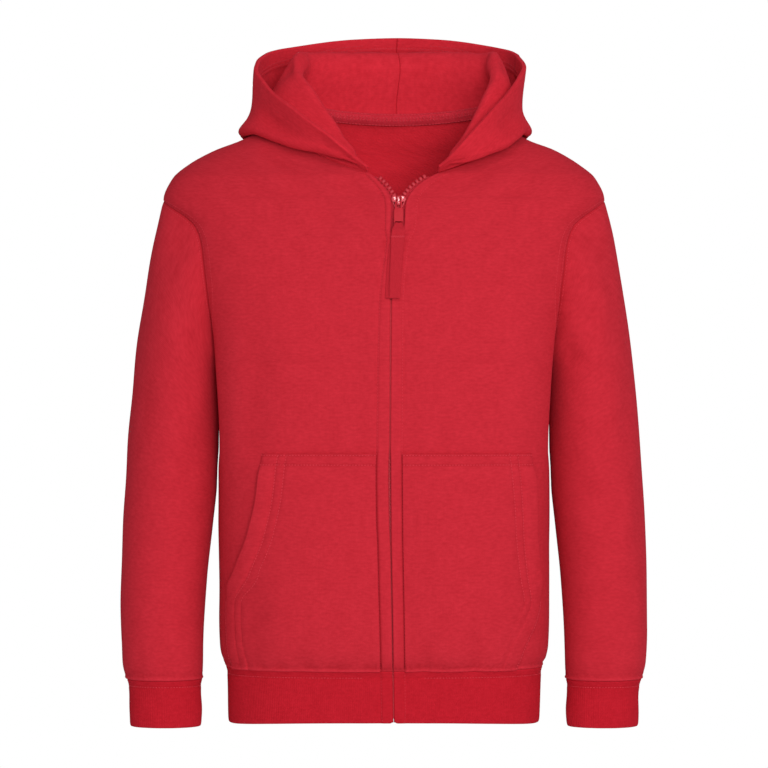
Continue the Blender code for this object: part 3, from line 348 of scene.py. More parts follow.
def frontLevel(z, side):
    # a level of a front panel, and the lengths at which the panel starts and ends
    level = Level(z, zipTurn(z), 0.0 if side > 0 else -math.pi)
    if z < cut["frontNeck"] - 1e-6:
        start = float(zipLine.at(z, "clothGap"))
    else:
        fromMiddle = side * (level.points[:, 0] - frontNeck.at(z, "middle"))
        start = level.lengthWhere(fromMiddle, frontNeck.at(z, "halfWidth"))
    end = level.total
    opening = armholeHalfDepth(z)
    if opening > 0:
        onSide = side * level.points[:, 0] > 0.1
        end = level.lengthWhere(np.where(onSide, level.points[:, 1], -1.0), -opening)
    return level, start, end


# lengths that bring a grid's rows or columns close together at a rounded or sewn edge
edgeSteps = np.array([0, 0.0003, 0.0007, 0.0012, 0.0018, 0.0026, 0.0036, 0.0048])
leastStep = 0.0006


def spread(start, end, spacing, extra, closeEnd=True):
    # places from start to end, close together at the ends, with extra ones between
    first = start + edgeSteps
    last = end - (edgeSteps[::-1] if closeEnd else edgeSteps[:1])
    count = max(2, round((last[0] - first[-1]) / spacing))
    middle = np.linspace(first[-1], last[0], count + 1)[1:-1]
    middle = middle[np.min(np.abs(middle[:, None] - np.array(extra)[None]), axis=1) > leastStep]
    return np.concatenate([first, np.sort(np.concatenate([middle, extra])), last])


def bodyRows(upper):
    # heights of a body panel's rows: close together at the hem seam and round the armhole
    lower = spread(cut["hemSeam"], cut["armholeBottom"], 0.003,
                   [cut["hemSeam"] + d for d in (0.0064, 0.0082, 0.0104)], closeEnd=False)
    return np.concatenate([lower[:-1], armholeRows()[::-1], upper])


def lengthsAlong(grid, axis):
    steps = np.linalg.norm(np.diff(grid, axis=axis), axis=-1)
    start = np.zeros_like(np.take(steps, [0], axis=axis))
    return np.concatenate([start, np.cumsum(steps, axis=axis)], axis=axis)


def gridNormals(grid, ring=False):
    around = np.roll(grid, -1, axis=1) - np.roll(grid, 1, axis=1) if ring else np.gradient(grid, axis=1)
    return unit(np.cross(around, np.gradient(grid, axis=0)))


class Cloth:
    # a grid of points over one piece of cloth, with how far each point is from the piece's edges

    def __init__(self, points, normals, ring=False):
        self.points, self.normals, self.ring = points, normals, ring
        self.fromFirst, self.fromBottom = lengthsAlong(points, 1), lengthsAlong(points, 0)
        self.fromLast = self.fromFirst[:, -1:] - self.fromFirst
        self.fromTop = self.fromBottom[-1:] - self.fromBottom
        # painted light and shade at each point, which the knit finishes read
        self.paintedLight = np.zeros(points.shape[:2])

    def push(self, distance, paintedLight=0.0):
        # moves the face out, and adds painted light there: painted highlight towards 1, painted shade towards -1
        self.points = self.points + self.normals * np.asarray(distance)[..., None]
        self.paintedLight = np.clip(self.paintedLight + paintedLight, -1, 1)

    def line(self, distance, edge, span=(0.0, 1.0)):
        # the path that keeps one distance from an edge, over a span of that edge
        sideways = edge in ("first", "last")
        reach = {"first": self.fromFirst, "last": self.fromLast,
                 "bottom": self.fromBottom, "top": self.fromTop}[edge]
        points, normals = self.points, self.normals
        if not sideways:
            reach, points, normals = reach.T, points.swapaxes(0, 1), normals.swapaxes(0, 1)
        if edge in ("last", "top"):
            reach, points, normals = reach[:, ::-1], points[:, ::-1], normals[:, ::-1]
        count = len(points)
        kept = range(round(span[0] * (count - 1)), round(span[1] * (count - 1)) + 1)
        far = np.broadcast_to(distance, count)
        path, facing = (np.array([readAt(far[i], reach[i], values[i]) for i in kept]) for values in (points, normals))
        return path, unit(facing)


def edgeDrop(distance, radius):
    # how far a rounded edge falls away from the face, at a distance from it
    inside = np.clip(radius - distance, 0, radius)
    return radius - np.sqrt(np.maximum(radius ** 2 - inside ** 2, 0))


def makeMesh(name, verts, quads, uvs, slots, materials, paintedLight):
    mesh = bpy.data.meshes.new(name)
    mesh.vertices.add(len(verts))
    mesh.vertices.foreach_set("co", np.asarray(verts, np.float32).ravel())
    mesh.loops.add(quads.size)
    mesh.loops.foreach_set("vertex_index", quads.astype(np.int32).ravel())
    mesh.polygons.add(len(quads))
    mesh.polygons.foreach_set("loop_start", np.arange(0, quads.size, 4, dtype=np.int32))
    mesh.polygons.foreach_set("material_index", slots.astype(np.int32))
    mesh.update(calc_edges=True)
    mesh.uv_layers.new(name="cloth").data.foreach_set("uv", np.asarray(uvs, np.float32).ravel())
    mesh.attributes.new("paintedLight", "FLOAT", "POINT").data.foreach_set("value", np.asarray(paintedLight, np.float32))
    for material in materials:
        mesh.materials.append(material)
    mesh.shade_smooth()
    return addObject(name, mesh)


def makeCloth(name, cloth, thickness, materials, rounding=0.42, edges="lrbt"):
    # the closed wall of a piece: outer face, inner face and rounded edges between them
    thickness = np.broadcast_to(thickness, cloth.points.shape[:2])
    drop = np.zeros(cloth.points.shape[:2])
    reaches = {"l": cloth.fromFirst, "r": cloth.fromLast, "b": cloth.fromBottom, "t": cloth.fromTop}
    for edge in edges:
        if not (cloth.ring and edge in "lr"):
            drop = np.maximum(drop, edgeDrop(reaches[edge], rounding * thickness))
    outer = cloth.points - cloth.normals * drop[..., None]
    inner = cloth.points - cloth.normals * (thickness - drop)[..., None]
    rows, columns = drop.shape
    count = rows * columns
    index = np.arange(count).reshape(rows, columns)
    u, v = cloth.fromFirst, np.broadcast_to(cloth.fromBottom[:, columns // 2][:, None], drop.shape)
    if cloth.ring:
        closing = np.linalg.norm(cloth.points[:, :1] - cloth.points[:, -1:], axis=-1)
        index = np.concatenate([index, index[:, :1]], axis=1)
        u = np.concatenate([u, u[:, -1:] + closing], axis=1)
        v = np.concatenate([v, v[:, :1]], axis=1)
    where = np.stack([u, v], axis=-1)

    def patches(grid):
        return np.stack([grid[:-1, :-1], grid[:-1, 1:], grid[1:, 1:], grid[1:, :-1]], axis=2)

    faces, faceUvs = patches(index).reshape(-1, 4), patches(where).reshape(-1, 4, 2)
    quads, uvs = [faces, faces[:, ::-1] + count], [faceUvs, faceUvs[:, ::-1]]
    slots = [np.zeros(len(faces), int), np.full(len(faces), len(materials) - 1)]
    rims = [(index[0, ::-1], where[0, ::-1]), (index[-1], where[-1])]
    if not cloth.ring:
        rims += [(index[:, 0], where[:, 0]), (index[::-1, -1], where[::-1, -1])]
    for line, lineUv in rims:
        quads.append(np.stack([line[:-1], line[1:], line[1:] + count, line[:-1] + count], axis=-1))
        away = lineUv + np.array([0.0, thickness.max()])
        uvs.append(np.stack([lineUv[:-1], lineUv[1:], away[1:], away[:-1]], axis=1))
        slots.append(np.zeros(len(line) - 1, int))
    quads, uvs, slots = np.concatenate(quads), np.concatenate(uvs), np.concatenate(slots)
    verts = np.concatenate([outer.reshape(-1, 3), inner.reshape(-1, 3)])
    # the inner face gets painted shade of -0.3 throughout
    paintedLight = np.concatenate([cloth.paintedLight.ravel(), -0.3 * np.ones(count)])
    middle = faces[len(faces) // 2]
    a, b, c, d = verts[middle]
    if np.dot(np.cross(c - a, d - b), cloth.normals.reshape(-1, 3)[middle[0]]) < 0:
        quads, uvs = quads[:, ::-1], uvs[:, ::-1]
    return makeMesh(name, verts, quads, uvs, slots, materials, paintedLight)


# the darkest and palest shade, and what each makes of a dye's red, green and blue
shadeLook = dict(dark=0.6, pale=1.2, darkShares=(0.62, 0.25, 0.3), paleShares=(1.19, 1.375, 1.35),
                 sheenRoughness=0.45, sheenShares=(1.5, 3, 3))


class Finish:
    # a Principled material, with short calls for the nodes that feed it

    def __init__(self, name, colour, roughness, sheen, specular, coat=0.0):
        self.material = bpy.data.materials.new(name)
        self.material.use_nodes = True
        self.nodes, self.links = self.material.node_tree.nodes, self.material.node_tree.links
        self.shader = self.nodes["Principled BSDF"]
        self.colour = colour
        for socket, value in (
                ("Base Color", (*colour, 1)), ("Roughness", roughness), ("Specular IOR Level", specular),
                ("Sheen Weight", sheen), ("Sheen Roughness", shadeLook["sheenRoughness"]),
                ("Sheen Tint", self.dyed("sheenShares")), ("Coat Weight", coat)):
            self.put(self.shader, socket, value)

    def dyed(self, shares):
        return (*(min(1, value * share) for value, share in zip(self.colour, shadeLook[shares])), 1)

    def put(self, node, socket, value):
        if isinstance(value, bpy.types.NodeSocket):
            self.links.new(value, node.inputs[socket])
        elif value is not None:
            node.inputs[socket].default_value = value

    def add(self, kind, output=0, settings=(), **inputs):
        node = self.nodes.new("ShaderNode" + kind)
        for key, value in dict(settings).items():
            setattr(node, key, value)
        for key, value in inputs.items():
            self.put(node, int(key[1:]) if key[0] == "i" and key[1:].isdigit() else key, value)
        return node.outputs[output]

    def sum(self, operation, a, b=None, c=None):
        return self.add("Math", settings={"operation": operation}, i0=a, i1=b, i2=c)

    def cloth(self):
        # lengths along the cloth, in metres: across it and up it
        parts = self.nodes.new("ShaderNodeSeparateXYZ")
        self.put(parts, 0, self.add("TexCoord", "UV"))
        return parts.outputs[0], parts.outputs[1]

    def noise(self, vector, size, detail=2.0, stretch=(1, 1, 1)):
        scaled = self.add("Mapping", i0=vector, i3=stretch)
        return self.add("TexNoise", "Fac", Vector=scaled, Scale=1 / size, Detail=detail)

    def paint(self, shade):
        # the base colour, made lighter or darker by a factor near 1 that carries the dye's own unevenness and the
        # painted light and shade; the darker, the deeper the red
        ends = {"From Min": shadeLook["dark"], "From Max": shadeLook["pale"]}
        amount = self.add("MapRange", Value=shade, **ends)
        mixed = self.add("Mix", 2, {"data_type": "RGBA"}, i0=amount, i6=self.dyed("darkShares"),
                         i7=self.dyed("paleShares"))
        self.put(self.shader, "Base Color", mixed)

    def bump(self, height, distance, strength=1.0, under=None):
        return self.add("Bump", Height=height, Distance=distance, Strength=strength, Normal=under)


knitLook = dict(
    wale=0.00115, course=0.00085,      # width of a column of knit loops, and height of a loop
    drift=0.5, driftSize=0.012,        # how far the columns wander, as a share of one
    slope=1.1, gapSharpness=5.0, gapDepth=0.6,
    relief=0.00016, fuzz=0.0001, fuzzSize=0.0009, bumpStrength=0.8,
    cloudSize=0.014, cloud=0.09,       # large and small unevenness of the colour
    streakSize=0.0021, streak=0.17, streakStretch=(0.45, 1, 1),
    # the next two amounts paint shade into the gaps between loops, and set how strongly the mesh's painted light and
    # shade change the dye
    groove=0.1, worn=0.1, roughness=0.95, specular=0.06,
)


def knitFinish(name, colour, sheen=0.25, relief=1.0):
    # the smooth face of a knit: columns of small V-shaped loops, a fine fuzz and a mottled dye, with painted shade in
    # the gaps between the loops and the painted light and shade that the mesh carries
    look = knitLook
    finish = Finish(name, colour, look["roughness"], sheen, look["specular"])
    uv = finish.add("TexCoord", "UV")
    across, up = finish.cloth()
    drift = finish.sum("MULTIPLY", finish.noise(uv, look["driftSize"]), look["drift"])
    u = finish.sum("FRACT", finish.sum("ADD", finish.sum("DIVIDE", across, look["wale"]), drift))
    fromMiddle = finish.sum("ABSOLUTE", finish.sum("SUBTRACT", u, 0.5))
    rise = finish.sum("MULTIPLY_ADD", fromMiddle, look["slope"], finish.sum("DIVIDE", up, look["course"]))
    loops = finish.sum("MULTIPLY_ADD", finish.sum("SINE", finish.sum("MULTIPLY", rise, 2 * math.pi)), 0.25, 0.5)
    between = finish.sum("POWER", finish.sum("MULTIPLY", fromMiddle, 2.0), look["gapSharpness"])
    height = finish.sum("SUBTRACT", loops, finish.sum("MULTIPLY", between, look["gapDepth"]))
    fuzz = finish.noise(uv, look["fuzzSize"], 3.0)
    normal = finish.bump(height, look["relief"] * relief, look["bumpStrength"])
    normal = finish.bump(fuzz, look["fuzz"], look["bumpStrength"], normal)
    finish.put(finish.shader, "Normal", normal)
    cloud = finish.noise(uv, look["cloudSize"], 3.0)
    streak = finish.noise(uv, look["streakSize"], 2.0, look["streakStretch"])
    worn = finish.add("Attribute", "Fac", settings={"attribute_name": "paintedLight"})
    shade = finish.sum("MULTIPLY_ADD", cloud, 2 * look["cloud"], 1 - look["cloud"] - look["streak"])
    shade = finish.sum("MULTIPLY_ADD", streak, 2 * look["streak"], shade)
    # painted shade in the gaps between the loops
    shade = finish.sum("MULTIPLY_ADD", height, look["groove"], shade)
    # the painted light and shade carried on the mesh
    shade = finish.sum("MULTIPLY_ADD", worn, look["worn"], shade)
    finish.paint(shade)
    return finish.material


brushedLook = dict(nap=0.0018, relief=0.0005, patch=0.008, patchShade=0.2, napShade=0.26,
                   napStrength=0.9, patchStrength=0.6, roughness=1.0, sheen=0.3, specular=0.05)


def brushedFinish(name, colour):
    # the soft brushed inside of fleece: short nap in small tufts
    look = brushedLook
    finish = Finish(name, colour, look["roughness"], look["sheen"], look["specular"])
    uv = finish.add("TexCoord", "UV")
    nap = finish.noise(uv, look["nap"], 4.0)
    patch = finish.noise(uv, look["patch"], 3.0)
    normal = finish.bump(nap, look["relief"], look["napStrength"])
    finish.put(finish.shader, "Normal", finish.bump(patch, look["relief"], look["patchStrength"], normal))
    shade = finish.sum("MULTIPLY_ADD", nap, look["napShade"], 1 - look["napShade"] / 2 - look["patchShade"] / 2)
    finish.paint(finish.sum("MULTIPLY_ADD", patch, look["patchShade"], shade))
    return finish.material


wovenLook = dict(pitch=0.0007, relief=0.00015, bumpStrength=0.6, slant=0.9, threads=1.4, threadShare=0.3,
                 shade=0.16, patch=0.004, roughness=0.85, sheen=0.15, specular=0.12)


def wovenFinish(name, colour):
    # a close twill weave, for the tapes and the pull tab, with painted shade in the hollows between its ribs
    look = wovenLook
    finish = Finish(name, colour, look["roughness"], look["sheen"], look["specular"])
    across, up = finish.cloth()
    slanted = finish.sum("MULTIPLY_ADD", across, look["slant"], up)
    ribs = finish.sum("SINE", finish.sum("MULTIPLY", slanted, 2 * math.pi / look["pitch"]))
    rate = 2 * math.pi / look["pitch"] * look["threads"]
    threads = finish.sum("SINE", finish.sum("MULTIPLY", across, rate))
    height = finish.sum("MULTIPLY_ADD", threads, look["threadShare"], ribs)
    finish.put(finish.shader, "Normal", finish.bump(height, look["relief"], look["bumpStrength"]))
    uv = finish.add("TexCoord", "UV")
    # darker where the weave is low: painted shade in its hollows
    shade = finish.sum("MULTIPLY_ADD", height, look["shade"] / 2, 1 - look["shade"] / 2)
    finish.paint(finish.sum("MULTIPLY_ADD", finish.noise(uv, look["patch"], 3.0), look["shade"], shade))
    return finish.material


threadLook = dict(twist=0.0006, relief=0.0001, bumpStrength=0.5, patch=0.006, shade=0.15,
                  roughness=0.7, sheen=0.2, specular=0.2)


def threadFinish(name, colour):
    look = threadLook
    finish = Finish(name, colour, look["roughness"], look["sheen"], look["specular"])
    place = finish.add("TexCoord", "Object")
    twist = finish.noise(place, look["twist"], 2.0)
    finish.put(finish.shader, "Normal", finish.bump(twist, look["relief"], look["bumpStrength"]))
    shade = look["shade"]
    finish.paint(finish.sum("MULTIPLY_ADD", finish.noise(place, look["patch"]), 2 * shade, 1 - shade))
    return finish.material


glossLook = dict(grain=0.0015, relief=0.00005, bumpStrength=0.3, shade=0.12, unevenGloss=0.1)


def glossFinish(name, colour, roughness, coat=0.0, specular=0.5):
    # enamel and moulded teeth: smooth, a little uneven in gloss and colour
    look = glossLook
    finish = Finish(name, colour, roughness, 0.0, specular, coat)
    marks = finish.noise(finish.add("TexCoord", "Object"), look["grain"], 4.0)
    gloss = finish.sum("MULTIPLY_ADD", marks, 2 * look["unevenGloss"], roughness - look["unevenGloss"])
    finish.put(finish.shader, "Roughness", gloss)
    finish.put(finish.shader, "Normal", finish.bump(marks, look["relief"], look["bumpStrength"]))
    finish.paint(finish.sum("MULTIPLY_ADD", marks, 2 * look["shade"], 1 - look["shade"]))
    return finish.material


# the hood, its lining and the brushed inside are the body's red fleece dyed lighter, as painted light that lifts
# their shade; the thread is the same red made lighter as a painted sheen
dye = dict(
    fleece=(0.538, 0.0205, 0.0345), hood=(0.585, 0.0195, 0.0335), lining=(0.66, 0.023, 0.0395),
    brushed=(0.77, 0.024, 0.042), rib=(0.49, 0.011, 0.022), tape=(0.6, 0.026, 0.045), thread=(0.62, 0.033, 0.054),
    teeth=(0.56, 0.03, 0.047), enamel=(0.68, 0.045, 0.068), link=(0.52, 0.018, 0.031),
    webbing=(0.54, 0.018, 0.032),
)
fleeceFace = knitFinish("fleeceFace", dye["fleece"])
hoodFace = knitFinish("hoodFace", dye["hood"])
hoodLining = knitFinish("hoodLining", dye["lining"])
ribFace = knitFinish("ribFace", dye["rib"], 0.2, 0.8)
fleeceInside = brushedFinish("fleeceInside", dye["brushed"])
tapeCloth = wovenFinish("tapeCloth", dye["tape"])
neckTapeCloth = knitFinish("neckTapeCloth", dye["tape"], 0.2, 0.7)
webbing = wovenFinish("webbing", dye["webbing"])
sewingThread = threadFinish("sewingThread", dye["thread"])
toothResin = glossFinish("toothResin", dye["teeth"], 0.5, specular=0.3)
redEnamel = glossFinish("redEnamel", dye["enamel"], 0.2, 1.0)
linkEnamel = glossFinish("linkEnamel", dye["link"], 0.6, specular=0.15)
print("finishes ready")


def newTree(name, sockets):
    tree = bpy.data.node_groups.new(name, "GeometryNodeTree")
    tree.interface.new_socket(name="Geometry", in_out="INPUT", socket_type="NodeSocketGeometry")
    for label, kind in sockets:
        tree.interface.new_socket(name=label, in_out="INPUT", socket_type="NodeSocket" + kind)
    tree.interface.new_socket(name="Geometry", in_out="OUTPUT", socket_type="NodeSocketGeometry")
    return tree, tree.nodes.new("NodeGroupInput"), tree.nodes.new("NodeGroupOutput")


def treeNode(tree, kind, settings=(), **inputs):
    node = tree.nodes.new(kind)
    for key, value in dict(settings).items():
        setattr(node, key, value)
    for key, value in inputs.items():
        socket = node.inputs[key.replace("_", " ")]
        if isinstance(value, bpy.types.NodeSocket):
            tree.links.new(value, socket)
        else:
            socket.default_value = value
    return node


def readVector(tree, name):
    return treeNode(tree, "GeometryNodeInputNamedAttribute", {"data_type": "FLOAT_VECTOR"}, Name=name).outputs[0]


def dressed(tree, start, end, last):
    # ends a tree with the material that it is given
    node = treeNode(tree, "GeometryNodeSetMaterial", Geometry=last.outputs[0], Material=start.outputs["Material"])
    tree.links.new(node.outputs[0], end.inputs[0])
    return tree


def makeRowTree(name, tooth):
    # one small shape on every point, turned along the row and lifted off the cloth
    tree, start, end = newTree(name, [("Length", "Float"), ("Width", "Float"), ("Height", "Float"),
                                      ("Unevenness", "Float"), ("Seed", "Int"), ("Material", "Material")])
    size = treeNode(tree, "ShaderNodeCombineXYZ")
    for i, label in enumerate(("Length", "Width", "Height")):
        tree.links.new(start.outputs[label], size.inputs[i])
    if tooth:
        block = treeNode(tree, "GeometryNodeMeshCube", Size=(1, 1, 1))
        shape = treeNode(tree, "GeometryNodeSubdivisionSurface", Mesh=block.outputs["Mesh"], Level=1,
                         Edge_Crease=0.55)
    else:
        shape = treeNode(tree, "GeometryNodeMeshUVSphere", Segments=6, Rings=5, Radius=0.5)
    sized = treeNode(tree, "GeometryNodeTransform", Geometry=shape.outputs["Mesh"], Scale=size.outputs[0])
    turned = treeNode(tree, "FunctionNodeAlignRotationToVector", {"axis": "X"}, Vector=readVector(tree, "along"))
    lifted = treeNode(tree, "FunctionNodeAlignRotationToVector", {"axis": "Z", "pivot_axis": "X"},
                      Rotation=turned.outputs[0], Vector=readVector(tree, "out"))
    random = treeNode(tree, "FunctionNodeRandomValue", {"data_type": "FLOAT"})
    bounds = [socket for socket in random.inputs if socket.type == "VALUE"]
    for operation, bound in zip(("SUBTRACT", "ADD"), bounds):
        share = treeNode(tree, "ShaderNodeMath", {"operation": operation})
        share.inputs[0].default_value = 1.0
        tree.links.new(start.outputs["Unevenness"], share.inputs[1])
        tree.links.new(share.outputs[0], bound)
    tree.links.new(start.outputs["Seed"], random.inputs["Seed"])
    value = next(socket for socket in random.outputs if socket.type == "VALUE")
    placed = treeNode(tree, "GeometryNodeInstanceOnPoints", Points=start.outputs["Geometry"],
                      Instance=sized.outputs[0], Rotation=lifted.outputs[0], Scale=value)
    real = treeNode(tree, "GeometryNodeRealizeInstances", Geometry=placed.outputs[0])
    smooth = treeNode(tree, "GeometryNodeSetShadeSmooth", Geometry=real.outputs[0])
    return dressed(tree, start, end, smooth)


def makeRibTree():
    # lifts the face of a knitted band into ribs, by the length round it
    tree, start, end = newTree("ribs", [("Pitch", "Float"), ("Relief", "Float"), ("Material", "Material")])
    girth = treeNode(tree, "GeometryNodeInputNamedAttribute", {"data_type": "FLOAT"}, Name="girth")
    steps = [("DIVIDE", girth.outputs[0], start.outputs["Pitch"]), ("MULTIPLY", None, 2 * math.pi),
             ("COSINE", None, None), ("MULTIPLY", None, start.outputs["Relief"])]
    last = None
    for operation, first, second in steps:
        node = treeNode(tree, "ShaderNodeMath", {"operation": operation})
        tree.links.new(first or last, node.inputs[0])
        if isinstance(second, bpy.types.NodeSocket):
            tree.links.new(second, node.inputs[1])
        elif second is not None:
            node.inputs[1].default_value = second
        last = node.outputs[0]
    offset = treeNode(tree, "ShaderNodeVectorMath", {"operation": "SCALE"}, Vector=readVector(tree, "out"))
    tree.links.new(last, offset.inputs["Scale"])
    moved = treeNode(tree, "GeometryNodeSetPosition", Geometry=start.outputs["Geometry"], Offset=offset.outputs[0])
    return dressed(tree, start, end, treeNode(tree, "GeometryNodeRealizeInstances", Geometry=moved.outputs[0]))


stitchTree = makeRowTree("stitches", False)
toothTree = makeRowTree("zipTeeth", True)
ribTree = makeRibTree()


def grow(guide, tree, values, name):
    # runs a tree on a guide mesh and keeps the result as a plain mesh
    modifier = guide.modifiers.new(tree.name, "NODES")
    modifier.node_group = tree
    for item in tree.interface.items_tree:
        if item.item_type == "SOCKET" and item.in_out == "INPUT" and item.name in values:
            modifier[item.identifier] = values[item.name]
    seen = guide.evaluated_get(bpy.context.evaluated_depsgraph_get())
    mesh = bpy.data.meshes.new_from_object(seen)
    guide.modifiers.clear()
    mesh.name = name
    bpy.data.objects.remove(guide)
    return addObject(name, mesh)


def placeRow(name, points, along, out, tree, values):
    mesh = bpy.data.meshes.new(name + "Guide")
    mesh.from_pydata([tuple(p) for p in points], [], [])
    for label, vectors in (("along", along), ("out", out)):
        data = mesh.attributes.new(label, "FLOAT_VECTOR", "POINT").data
        data.foreach_set("vector", np.asarray(vectors, np.float32).ravel())
    return grow(addObject(name + "Guide", mesh), tree, values, name)


def evenly(path, facing, pitch, start=0.0, end=0.0):
    # points at an even pitch along a path, with the path's direction and facing at each
    lengths = runLengths(path)
    where = np.arange(start + pitch / 2, lengths[-1] - end, pitch)
    ahead, behind = readAt(where + pitch / 2, lengths, path), readAt(where - pitch / 2, lengths, path)
    return readAt(where, lengths, path), unit(ahead - behind), unit(readAt(where, lengths, facing))


stitch = dict(pitch=0.0026, length=0.002, width=0.00055, height=0.0004, lift=0.00004, unevenness=0.12)


def sew(name, rows, slot="fleece", body="garment", **changes):
    # rows of stitches as one piece; a row is a path, its facing and how far its stitches slant
    look = {**stitch, **changes}
    parts = []
    for row in rows:
        path, facing = row[0], row[1]
        slant = row[2] if len(row) > 2 else 0.0
        points, along, out = evenly(path, facing, look["pitch"])
        side = np.cross(out, along)
        swing = np.where(np.arange(len(points)) % 2 == 0, 1.0, -1.0)[:, None] * slant
        parts.append((points + out * look["lift"], unit(along + side * swing), out))
    points, along, out = (np.concatenate([part[k] for part in parts]) for k in range(3))
    piece = placeRow(name, points, along, out, stitchTree, {
        "Length": look["length"], "Width": look["width"], "Height": look["height"],
        "Unevenness": look["unevenness"], "Seed": len(points), "Material": sewingThread})
    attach(piece, body)


def finishCloth(piece, node, body="garment"):
    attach(piece, body)
    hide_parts(node)


def makePanel(name, cloth, edges="lrbt"):
    # one piece of fleece, brushed on its inside
    piece = makeCloth("cloth_" + name, cloth, cut["fleece"], [fleeceFace, fleeceInside], rounding=0.46, edges=edges)
    finishCloth(piece, name)


# the sleeve, between its outer line and its underarm line
sleeveShape = Table("step outerX outerZ innerX innerZ halfDepth middleY", [
    (0, 0.194, -0.062, 0.142, -0.205, 0.05, 0), (0.08, 0.202, -0.096, 0.144, -0.212, 0.056, -0.001),
    (0.18, 0.2095, -0.14, 0.1445, -0.224, 0.056, -0.002), (0.3, 0.217, -0.19, 0.145, -0.245, 0.053, -0.003),
    (0.42, 0.2222, -0.242, 0.1452, -0.276, 0.0495, -0.004), (0.54, 0.2258, -0.292, 0.1465, -0.31, 0.046, -0.006),
    (0.66, 0.2288, -0.342, 0.1505, -0.35, 0.0425, -0.009), (0.78, 0.2303, -0.392, 0.155, -0.394, 0.039, -0.013),
    (0.9, 0.2305, -0.438, 0.1576, -0.438, 0.036, -0.016), (0.96, 0.229, -0.466, 0.1582, -0.466, 0.0345, -0.018),
    (1, 0.2256, -0.481, 0.1588, -0.481, 0.032, -0.018),
])
sleeveClearance, sleeveBlend = 0.0015, 0.22
sleeveSteps = np.concatenate([[0, 0.0007, 0.0016, 0.0028, 0.0045, 0.0065, 0.009, 0.012, 0.016, 0.021],
                              np.linspace(0.027, 0.962, 112),
                              [0.969, 0.975, 0.98, 0.984, 0.9875, 0.9905, 0.993, 0.995, 0.9968, 0.9983,
                               0.9992, 1.0]])


def armholeLoop(side):
    # points on the body round one armhole: from the top down the front, and up the back
    points, normals = [], []
    heights = armholeRows()
    for z in heights:
        level, _, end = frontLevel(z, side)
        turn = level.turnAt(end)
        points.append(bodyPoint(turn, z))
        normals.append(bodyNormal(turn, z))
    for z in heights[-2:0:-1]:
        level = Level(z, 0.0, math.pi) if side > 0 else Level(z, math.pi, 0.0)
        turn = level.turnAt(level.lengthWhere(level.points[:, 1], armholeHalfDepth(z)))
        points.append(bodyPoint(turn, z))
        normals.append(bodyNormal(turn, z))
    return np.array(points), np.array(normals)


def tubeRing(side, angles, outerX, outerZ, innerX, innerZ, halfDepth, middleY):
    across = np.cos(angles)
    return np.stack(
        [
            side * ((outerX + innerX) / 2 + (outerX - innerX) / 2 * across),
            middleY - halfDepth * np.sin(angles),
            (outerZ + innerZ) / 2 + (outerZ - innerZ) / 2 * across,
        ],
        axis=-1,
    )


def upwardsGrid(rings, side):
    # rings listed downwards and clockwise, put bottom row first and anticlockwise
    return np.array(rings)[::-1, ::-1] if side > 0 else np.array(rings)[::-1]


def sleeveGrid(side):
    angles = np.linspace(0, 2 * math.pi, 2 * cut["armholeSteps"], endpoint=False)
    loop, bodyNormals = armholeLoop(side)
    parts = list(sleeveShape.columns)[1:]
    away = loop - tubeRing(side, angles, *(sleeveShape.at(0.0, part) for part in parts))
    rings = []
    for step in sleeveSteps:
        fade = max(0.0, 1 - step / sleeveBlend) ** 2
        ring = tubeRing(side, angles, *(sleeveShape.at(step, part) for part in parts)) + fade * away
        if step > 0:
            clear = sideX(ring[:, 1], ring[:, 2]) + sleeveClearance * min(1.0, step / 0.05)
            ring[:, 0] = side * np.maximum(side * ring[:, 0], clear)
        rings.append(ring)
    grid = upwardsGrid(rings, side)
    normals = gridNormals(grid, ring=True)
    bodyNormals = bodyNormals[::-1] if side > 0 else bodyNormals
    shared = unit(unit(normals[-1] + normals[-3]) + bodyNormals)
    return grid, normals, grid[-1], shared


def leanTo(cloth, distance, target, width=0.003):
    # near a seam the cloth faces the way that the seam does, so that both edges meet
    weight = bell(distance, width)[..., None]
    cloth.normals = unit(cloth.normals * (1 - weight) + target * weight)


def sideways(vectors):
    return unit(vectors * (1, 1, 0))


def meetSleeve(cloth, heights, side, fromEdge, face):
    # the armhole edge of a panel takes the seam's facing; face is -1 for the front, 1 for the back
    _, _, loop, shared = armholes[side]
    half = face * loop[:, 1] >= -1e-6
    order = np.argsort(loop[half, 2])
    z, facing = loop[half, 2][order], shared[half][order]
    target = unit(readAt(heights, z, facing))
    inside = (heights >= cut["armholeBottom"]) & (heights <= cut["armholeTop"])
    leanTo(cloth, np.where(inside, fromEdge, 1.0), target)


armholes = {side: sleeveGrid(side) for side in (1, -1)}


